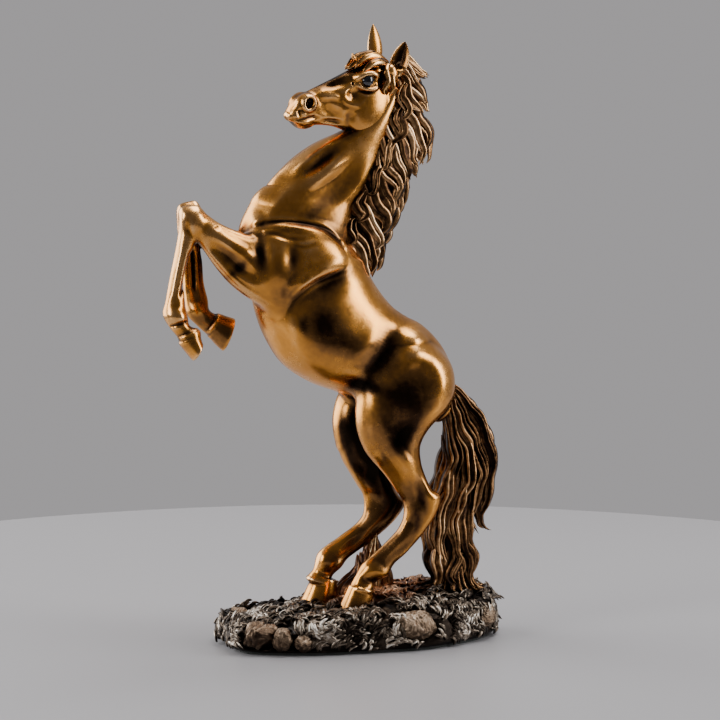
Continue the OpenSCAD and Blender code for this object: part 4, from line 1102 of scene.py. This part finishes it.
def base_piece():
    """The mound: a flat underside with a smooth foot, then the wall and the top."""
    rows, around = 90, 320
    a = np.linspace(0, 2 * math.pi, around, endpoint=False)
    rings = []
    foot = (0.5, FELT), (0.955, FELT), (0.964, FELT + 0.3), (0.970, FELT + 1.0), (0.974, FOOT - 0.4)
    for share, z in foot:
        x, y = outline(a, share)
        rings.append(np.stack([x, y, np.full(around, z)], 1))
    for v in np.linspace(0, 0.985, rows):
        p = base_point(a, np.full(around, v))
        sink = np.clip(1.35 - near_stone(p), 0, 0.5)[:, None]
        p = p * (1 - sink * (0.09, 0.16, 0.12))
        p[:, 2] = np.maximum(p[:, 2], FOOT - 0.3)
        rings.append(p)
    group = Strands()
    group.add(np.array(rings), np.full((len(rings), around), 0.75))
    return group.piece("ground_cast")


def stone_piece():
    """Craggy lumps: a ball cut by flats, with worn edges and pits."""
    points, faces, hollow = [], [], []
    start = 0
    for n, (x, y, z, l, d, h, turn) in enumerate(STONES):
        bm = bmesh.new()
        bmesh.ops.create_icosphere(bm, subdivisions=6, radius=1)
        v = np.array([p.co[:] for p in bm.verts])
        f = [tuple(start + q.index for q in face.verts) for face in bm.faces]
        bm.free()
        rng = np.random.default_rng(40 + n)
        flats = unit(rng.normal(size=(22, 3)))
        reach = rng.uniform(0.74, 0.94, len(flats)) / np.maximum(v @ flats.T, 0.05)
        soft = 26.0                         # the higher, the sharper the edges between the flats
        r = -np.log(np.exp(-soft * np.minimum(reach, 3)).sum(1) + math.exp(-soft)) / soft
        bent = v + 0.28 * np.sin(v @ rng.normal(0, 3.4, (3, 3)) + n)
        bent = bent + 0.10 * np.sin(bent @ rng.normal(0, 9, (3, 3)) + n)
        rough = 0
        for k in (5, 9, 15, 24):
            first, second = rng.normal(0, k, 3), rng.normal(0, k, 3)
            rough = rough + np.sin(bent @ first + k) * np.sin(bent @ second) / k
        r += 0.2 * rough
        p = v * r[:, None] * (l, d, h) * 1.06
        c, s = cos_sin(turn)
        p = np.stack([p[:, 0] * c - p[:, 1] * s + x, p[:, 0] * s + p[:, 1] * c + y, p[:, 2] + z], 1)
        p[:, 2] = np.maximum(p[:, 2], FELT + 0.3)
        points.append(p)
        faces += f
        # darker in the pits and towards the bottom of each stone, lighter on top
        hollow.append(-1.5 * rough - 0.45 * v[:, 2] + 0.25)
        start += len(p)
    return new_mesh("stones_cast", np.vstack(points), faces, hollow=np.concatenate(hollow))


def grass_strands():
    """Tufts of short curved blades over the wall and the top."""
    rng = np.random.default_rng(21)
    group = Strands()
    for _ in range(TUFTS):
        a0 = rng.uniform(0, 2 * math.pi)
        on_wall = rng.uniform() < ON_WALL
        v0 = WALL * rng.uniform(0.1, 1) ** 2 if on_wall else 1 - (1 - WALL) * rng.uniform() ** 0.5
        tone = rng.uniform(-0.75, 0.35)
        heading = rng.normal(math.pi / 2, 0.6) if v0 < WALL else rng.uniform(0, 2 * math.pi)
        bend = rng.uniform(0.4, 1.1) * rng.choice((-1, 1))
        long = rng.uniform(4.6, 7.6)
        spot = base_point(a0, v0)
        if near_stone(spot) < ROOT_CLEAR:
            continue
        along = unit(base_point(a0 + 0.01, v0) - spot)
        inward = base_point(a0, v0 + 0.01) - spot
        inward = unit(inward - along * (inward @ along))
        normal = np.cross(along, inward)
        for _ in range(BLADES):
            way = heading + rng.normal(0, 0.22)
            start = spot + along * rng.normal(0, 1.7) + inward * rng.normal(0, 1.5)
            path = []
            for t in (0, 0.33, 0.66, 1):
                turn = way + bend * t
                step = long * t * rng.uniform(0.92, 1.05)
                lift = (2.4 if v0 > WALL else 1.3) * math.sin(math.pi * (0.1 + 0.8 * t)) - 0.5
                path.append(start + (along * math.cos(turn) + inward * math.sin(turn)) * step + normal * lift)
            too_low = min(path[3][2], path[1][2]) < FOOT - 0.4
            if too_low or min(near_stone(path[2]), near_stone(path[3])) < BLADE_CLEAR:
                continue
            path = np.clip(path, (-99, -GRASS_Y[0], 0), (99, GRASS_Y[1], 99))
            group.lock(path, rng.uniform(0.75, 1.15), rng.uniform(0.55, 0.8), ribs=3, rib=0.16, ring=9,
                       rows=8, phase=rng.uniform(0, 6), across=normal, root=0.7, tone=tone)
    return group


def clump_strands():
    """Broad blades that prop the right hind cannon."""
    rng = np.random.default_rng(9)
    group = Strands()
    for i in range(CLUMP_BLADES):
        t = (i + rng.uniform(-0.3, 0.3)) / CLUMP_BLADES
        x0, x1 = -5 + 22 * t, 2 + 12 * t
        top = 34 + 24 * t * rng.uniform(0.72, 1)
        y = LEG_Y + 5.4 * math.sin(2.4 * i)
        y1 = LEG_Y + 4.2 * math.sin(2.4 * i + 0.5)
        bow = rng.uniform(-1, 2.5)
        low, tall = 17, top - 17
        path = [(x0, y, low), (x0 + 1.5 + bow * 0.5, y, low + tall * 0.35),
                (x1 + bow, (y + y1) / 2, low + tall * 0.7), (x1 + rng.uniform(-2, 2), y1, top)]
        group.bundle(path, rng.uniform(3, 4), 2.0, rng, strands=2, rows=24, root=0.95)
    return group


# ---------------------------------------------------------------- materials
class Look:
    """A material, and the nodes that colour and roughen it."""

    def __init__(self, name):
        self.material = bpy.data.materials.new(name)
        self.material.use_nodes = True
        self.tree = self.material.node_tree
        self.shader = self.tree.nodes["Principled BSDF"]

    def wire(self, node, inputs):
        """Sets a node's inputs, or links those whose value is another node's output."""
        for key, value in inputs.items():
            if isinstance(value, bpy.types.NodeSocket):
                self.tree.links.new(value, node.inputs[key])
            else:
                node.inputs[key].default_value = value

    def add(self, kind, inputs, **settings):
        node = self.tree.nodes.new(kind)
        for key, value in settings.items():
            setattr(node, key, value)
        self.wire(node, inputs)
        return node

    def place(self):
        return self.add("ShaderNodeTexCoord", {}).outputs["Object"]

    def attribute(self, name):
        return self.add("ShaderNodeAttribute", {}, attribute_name=name).outputs["Fac"]

    def noise(self, where, scale, detail, rough=0.55):
        inputs = {"Vector": where, "Scale": scale, "Detail": detail, "Roughness": rough}
        return self.add("ShaderNodeTexNoise", inputs).outputs["Fac"]

    def remap(self, value, a, b, c=0.0, d=1.0):
        return self.add("ShaderNodeMapRange", {0: value, 1: a, 2: b, 3: c, 4: d}).outputs[0]

    def maths(self, how, a, b, c=0.0):
        return self.add("ShaderNodeMath", {0: a, 1: b, 2: c}, operation=how).outputs[0]

    def vector(self, how, a, b):
        return self.add("ShaderNodeVectorMath", {0: a, 1: b}, operation=how).outputs

    def ramp(self, value, stops):
        node = self.add("ShaderNodeValToRGB", {"Fac": value})
        e = node.color_ramp.elements
        while len(e) < len(stops):
            e.new(0.5)
        for element, (at, colour) in zip(e, stops):
            element.position = at
            element.color = (*colour, 1)
        return node.outputs["Color"]

    def bump(self, height, strength, distance):
        inputs = {"Height": height, "Strength": strength, "Distance": distance}
        return self.add("ShaderNodeBump", inputs).outputs[0]


CLOUD, FINE, BRUSH = 48, 420, 900           # noise scales of the patina's clouds, its grain and brush marks
COPPER = [(0.2, (0.03, 0.010, 0.006)), (0.6, (0.28, 0.10, 0.04)), (0.95, (0.8, 0.42, 0.2))]
# Each metal's colours run from the deepest hollow to the crowns.
BRONZES = {
    "polished_bronze": dict(gain=1.4, rough=(0.2, 0.3), wear=0.16, stops=[
        (0.0, (0.008, 0.005, 0.003)), (0.2, (0.045, 0.022, 0.011)), (0.42, (0.29, 0.135, 0.042)),
        (0.64, (0.70, 0.30, 0.055)), (1.0, (0.93, 0.54, 0.23))]),
    "hair_bronze": dict(gain=0.36, rough=(0.24, 0.4), wear=0.4, stops=[
        (0.0, (0.005, 0.003, 0.003)), (0.42, (0.016, 0.008, 0.005)), (0.66, (0.17, 0.082, 0.034)),
        (0.86, (0.62, 0.34, 0.15)), (1.0, (0.92, 0.62, 0.36))]),
    "grass_bronze": dict(gain=0.34, rough=(0.3, 0.5), wear=0.5, warm=((0.012, 0.012, 0.026), 0.05), stops=[
        (0.0, (0.005, 0.004, 0.004)), (0.5, (0.018, 0.013, 0.010)), (0.72, (0.10, 0.075, 0.055)),
        (0.9, (0.40, 0.33, 0.26)), (1.0, (0.74, 0.68, 0.60))]),
    "clump_bronze": dict(gain=0.34, rough=(0.28, 0.45), wear=0.6, stops=[
        (0.0, (0.008, 0.005, 0.004)), (0.4, (0.05, 0.02, 0.010)), (0.65, (0.20, 0.085, 0.035)),
        (0.85, (0.5, 0.26, 0.11)), (1.0, (0.86, 0.66, 0.38))]),
    "stone_bronze": dict(gain=0.42, rough=(0.38, 0.58), wear=0.5, grain=0.5, stops=[
        (0.0, (0.012, 0.008, 0.006)), (0.35, (0.05, 0.032, 0.022)), (0.62, (0.17, 0.115, 0.075)),
        (0.86, (0.42, 0.31, 0.22)), (1.0, (0.76, 0.66, 0.54))])}


def bronze(name, stops, gain, rough, wear, grain=0.2, warm=None):
    """Metal whose patina gathers in hollows, the more the higher the gain. warm is a place with its
    radius, in metres, where the colour turns to copper."""
    look = Look(name)
    where = look.place()
    hollow = look.attribute("hollow")
    shade = look.attribute("shade")
    cloud = look.noise(where, CLOUD, 5, 0.6)
    fine = look.noise(where, FINE, 4, 0.6)
    brush = look.noise(where, BRUSH, 2, 0.5)
    level = look.maths("MULTIPLY_ADD", hollow, -gain, 0.66)
    # the painted shade and patina patches of the 'shade' attribute darken the colour
    level = look.maths("SUBTRACT", level, shade)
    level = look.maths("ADD", level, look.remap(cloud, 0.3, 0.7, -0.5 * wear, 0.5 * wear))
    level = look.maths("ADD", level, look.remap(fine, 0.3, 0.7, -0.25 * wear, 0.25 * wear))
    colour = look.ramp(level, stops)
    if warm:
        away = look.vector("DISTANCE", where, warm[0])["Value"]
        away = look.maths("MULTIPLY_ADD", cloud, 0.03, away)
        share = look.remap(away, 0.4 * warm[1], warm[1], 1, 0)
        copper = look.ramp(level, COPPER)
        colour = look.add("ShaderNodeMixRGB", {0: share, 1: colour, 2: copper}).outputs[0]
    mottle = look.maths("MULTIPLY_ADD", fine, 0.4, cloud)
    height = look.maths("MULTIPLY_ADD", brush, 0.35, fine)
    look.wire(look.shader, {"Base Color": colour, "Metallic": 1,
                            "Roughness": look.remap(mottle, 0.5, 0.9, *rough),
                            "Normal": look.bump(height, grain, 0.0002)})
    return look.material


def eye_glass():
    """A dark iris round a pupil, by the angle from the eye's axis, under a clear coat."""
    look = Look("eye_glass")
    streak = look.noise(look.place(), 1500, 3)
    at = look.maths("ADD", look.attribute("angle"), look.remap(streak, 0, 1, -0.06, 0.06))
    colour = look.ramp(look.remap(at, 0, 1.6), [
        (0.0, (0.001, 0.001, 0.002)), (0.2, (0.002, 0.002, 0.003)), (0.27, (0.006, 0.009, 0.016)),
        (0.42, (0.010, 0.014, 0.024)), (0.5, (0.003, 0.003, 0.003))])
    look.wire(look.shader, {"Base Color": colour, "Roughness": 0.06, "IOR": 1.5, "Coat Weight": 1,
                            "Coat Roughness": 0.03})
    return look.material


def steel():
    """Fine turning lines across the Z axis."""
    look = Look("turned_steel")
    lines = look.noise(look.vector("MULTIPLY", look.place(), (30, 30, 2500))[0], 1, 2)
    colour = look.ramp(lines, [(0.3, (0.42, 0.42, 0.43)), (0.7, (0.66, 0.66, 0.67))])
    look.wire(look.shader, {"Base Color": colour, "Metallic": 1,
                            "Roughness": look.remap(lines, 0.3, 0.7, 0.25, 0.42)})
    return look.material


def felt():
    look = Look("felt")
    fibre = look.noise(look.place(), 1800, 6, 0.7)
    colour = look.ramp(fibre, [(0.3, (0.012, 0.014, 0.012)), (0.7, (0.045, 0.05, 0.045))])
    look.wire(look.shader, {"Base Color": colour, "Roughness": 0.95, "Sheen Weight": 0.4,
                            "Normal": look.bump(fibre, 0.6, 0.0003)})
    return look.material


def join(objects, name):
    """One object from several."""
    for o in bpy.context.selected_objects:
        o.select_set(False)
    for o in objects:
        o.select_set(True)
    bpy.context.view_layer.objects.active = objects[0]
    bpy.ops.object.join()
    objects[0].name = name
    return objects[0]


# ---------------------------------------------------------------- studio, in metres
LENS = 108
AZIMUTH, ELEVATION, DISTANCE = -15, 5, 1.1
LOOK_AT = Vector((1.5, 0, 144)) * MM
LIGHTS_AIM = Vector((0, 0, 0.16))
SOFTBOXES = [       # name, place, size and power
    ("left_box", (-0.95, 0.62, 0.45), (1.1, 1.2), 20),
    ("left_strip", (-1.05, -0.32, 0.55), (0.35, 0.8), 7),
    ("right_box", (1.0, -0.47, 0.5), (0.35, 1.0), 10),
    ("top_box", (0.35, 0.1, 1.3), (0.9, 0.7), 15)]
FLOOR_RADIUS = 0.45


def camera():
    cam = bpy.data.cameras.new("camera")
    obj = new_object("camera", cam)
    cam.lens, cam.sensor_width = LENS, 36
    (ca, sa), (ce, se) = cos_sin(AZIMUTH), cos_sin(ELEVATION)
    back = Vector((sa * ce, -ca * ce, se))
    obj.location = LOOK_AT + back * DISTANCE
    obj.rotation_euler = back.to_track_quat("Z", "Y").to_euler()
    cam.clip_start, cam.clip_end = 0.01, 20
    bpy.context.scene.camera = obj


def lights():
    """A pale room behind the statue and a dim one before it, with four large softboxes."""
    world = bpy.data.worlds.new("studio")
    bpy.context.scene.world = world
    world.use_nodes = True
    tree = world.node_tree
    way = tree.nodes.new("ShaderNodeTexCoord")
    split = tree.nodes.new("ShaderNodeSeparateXYZ")
    fade = tree.nodes.new("ShaderNodeMapRange")
    fade.interpolation_type = "SMOOTHSTEP"
    # where the fade starts and ends, then the light level before the statue and behind it
    for socket, value in ((1, -0.5), (2, 0.6), (3, 0.10), (4, 0.38)):
        fade.inputs[socket].default_value = value
    tree.links.new(way.outputs["Generated"], split.inputs[0])
    tree.links.new(split.outputs["Y"], fade.inputs[0])
    background = tree.nodes["Background"]
    background.inputs[0].default_value = (0.98, 0.95, 0.97, 1)
    tree.links.new(fade.outputs[0], background.inputs[1])
    for name, at, size, power in SOFTBOXES:
        data = bpy.data.lights.new(name, "AREA")
        data.shape = "RECTANGLE"
        data.size, data.size_y = size
        data.energy = power
        obj = new_object(name, data)
        obj.location = at
        obj.rotation_euler = (Vector(at) - LIGHTS_AIM).to_track_quat("Z", "Y").to_euler()


def floor():
    """A round pale table top."""
    sides = 128
    turns = [2 * math.pi * i / sides for i in range(sides)]
    rim = [(FLOOR_RADIUS * math.cos(a), FLOOR_RADIUS * math.sin(a), 0) for a in turns]
    mesh = bpy.data.meshes.new("floor")
    mesh.from_pydata(rim, [], [tuple(range(sides))])
    look = Look("floor")
    look.wire(look.shader, {"Base Color": (0.36, 0.35, 0.36, 1), "Roughness": 0.4})
    mesh.materials.append(look.material)
    new_object("floor", mesh)


# ---------------------------------------------------------------- making
STEEL_NODES = ("head_pin", "foreleg_pins", "hind_leg_pins", "tail_pin", "base_studs", "stud_washers",
               "stud_nuts")


def make_horse(metals):
    """All the sculpted pieces, each in place of its CAD node."""
    metal, hair, grass = metals["polished_bronze"], metals["hair_bronze"], metals["grass_bronze"]
    body = sculpt_body()
    say("body field")
    for node, piece in body_pieces(body):
        finish_piece(piece, metal, node)
    finish_piece(head_piece(sculpt_head()), metal, "head")
    say("head")
    glass = eye_glass()
    finish_piece(eye_piece(-1, "left_eye_glass"), glass, "left_eye")
    finish_piece(eye_piece(1, "right_eye_glass"), glass, "right_eye")
    left = ear_piece("left_ear_cast", (15.5, -5.6, 289), (21, -5.5, 305.5), (-0.75, -0.6, 0.1), 5.0, 3.4)
    right = ear_piece("right_ear_cast", (9.6, 5, 291), (9.0, 6.6, 313), (-0.05, 1, 0), 4.5, 3.0)
    finish_piece(left, metal, "left_ear")
    finish_piece(right, metal, "right_ear")
    for group, node in zip(mane_groups(), ("mane_upper", "mane_middle", "mane_lower")):
        finish_piece(group.piece(node + "_cast"), hair, node)
    finish_piece(forelock_strands().piece("forelock_cast", on_head=True), metal, "forelock")
    finish_piece(tail_strands().piece("tail_cast"), hair, "tail")
    say("hair")
    base = join([base_piece(), grass_strands().piece("grass")], "base_cast")
    finish_piece(base, grass, "base_casting")
    finish_piece(stone_piece(), metals["stone_bronze"], "base_stones")
    finish_piece(clump_strands().piece("clump_cast"), metals["clump_bronze"], "grass_clump")
    say("base")


def finish_cad_nodes(metals):
    """Materials for the CAD nodes that stay as they are."""
    looks = dict.fromkeys(STEEL_NODES, steel())
    looks["felt_pad"] = felt()
    looks["neck_ring"] = metals["polished_bronze"]
    for name, material in looks.items():
        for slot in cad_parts[name].material_slots:
            slot.material = material


camera()
lights()
floor()
ALL_METALS = {name: bronze(name, **values) for name, values in BRONZES.items()}
make_horse(ALL_METALS)
finish_cad_nodes(ALL_METALS)
say("done")
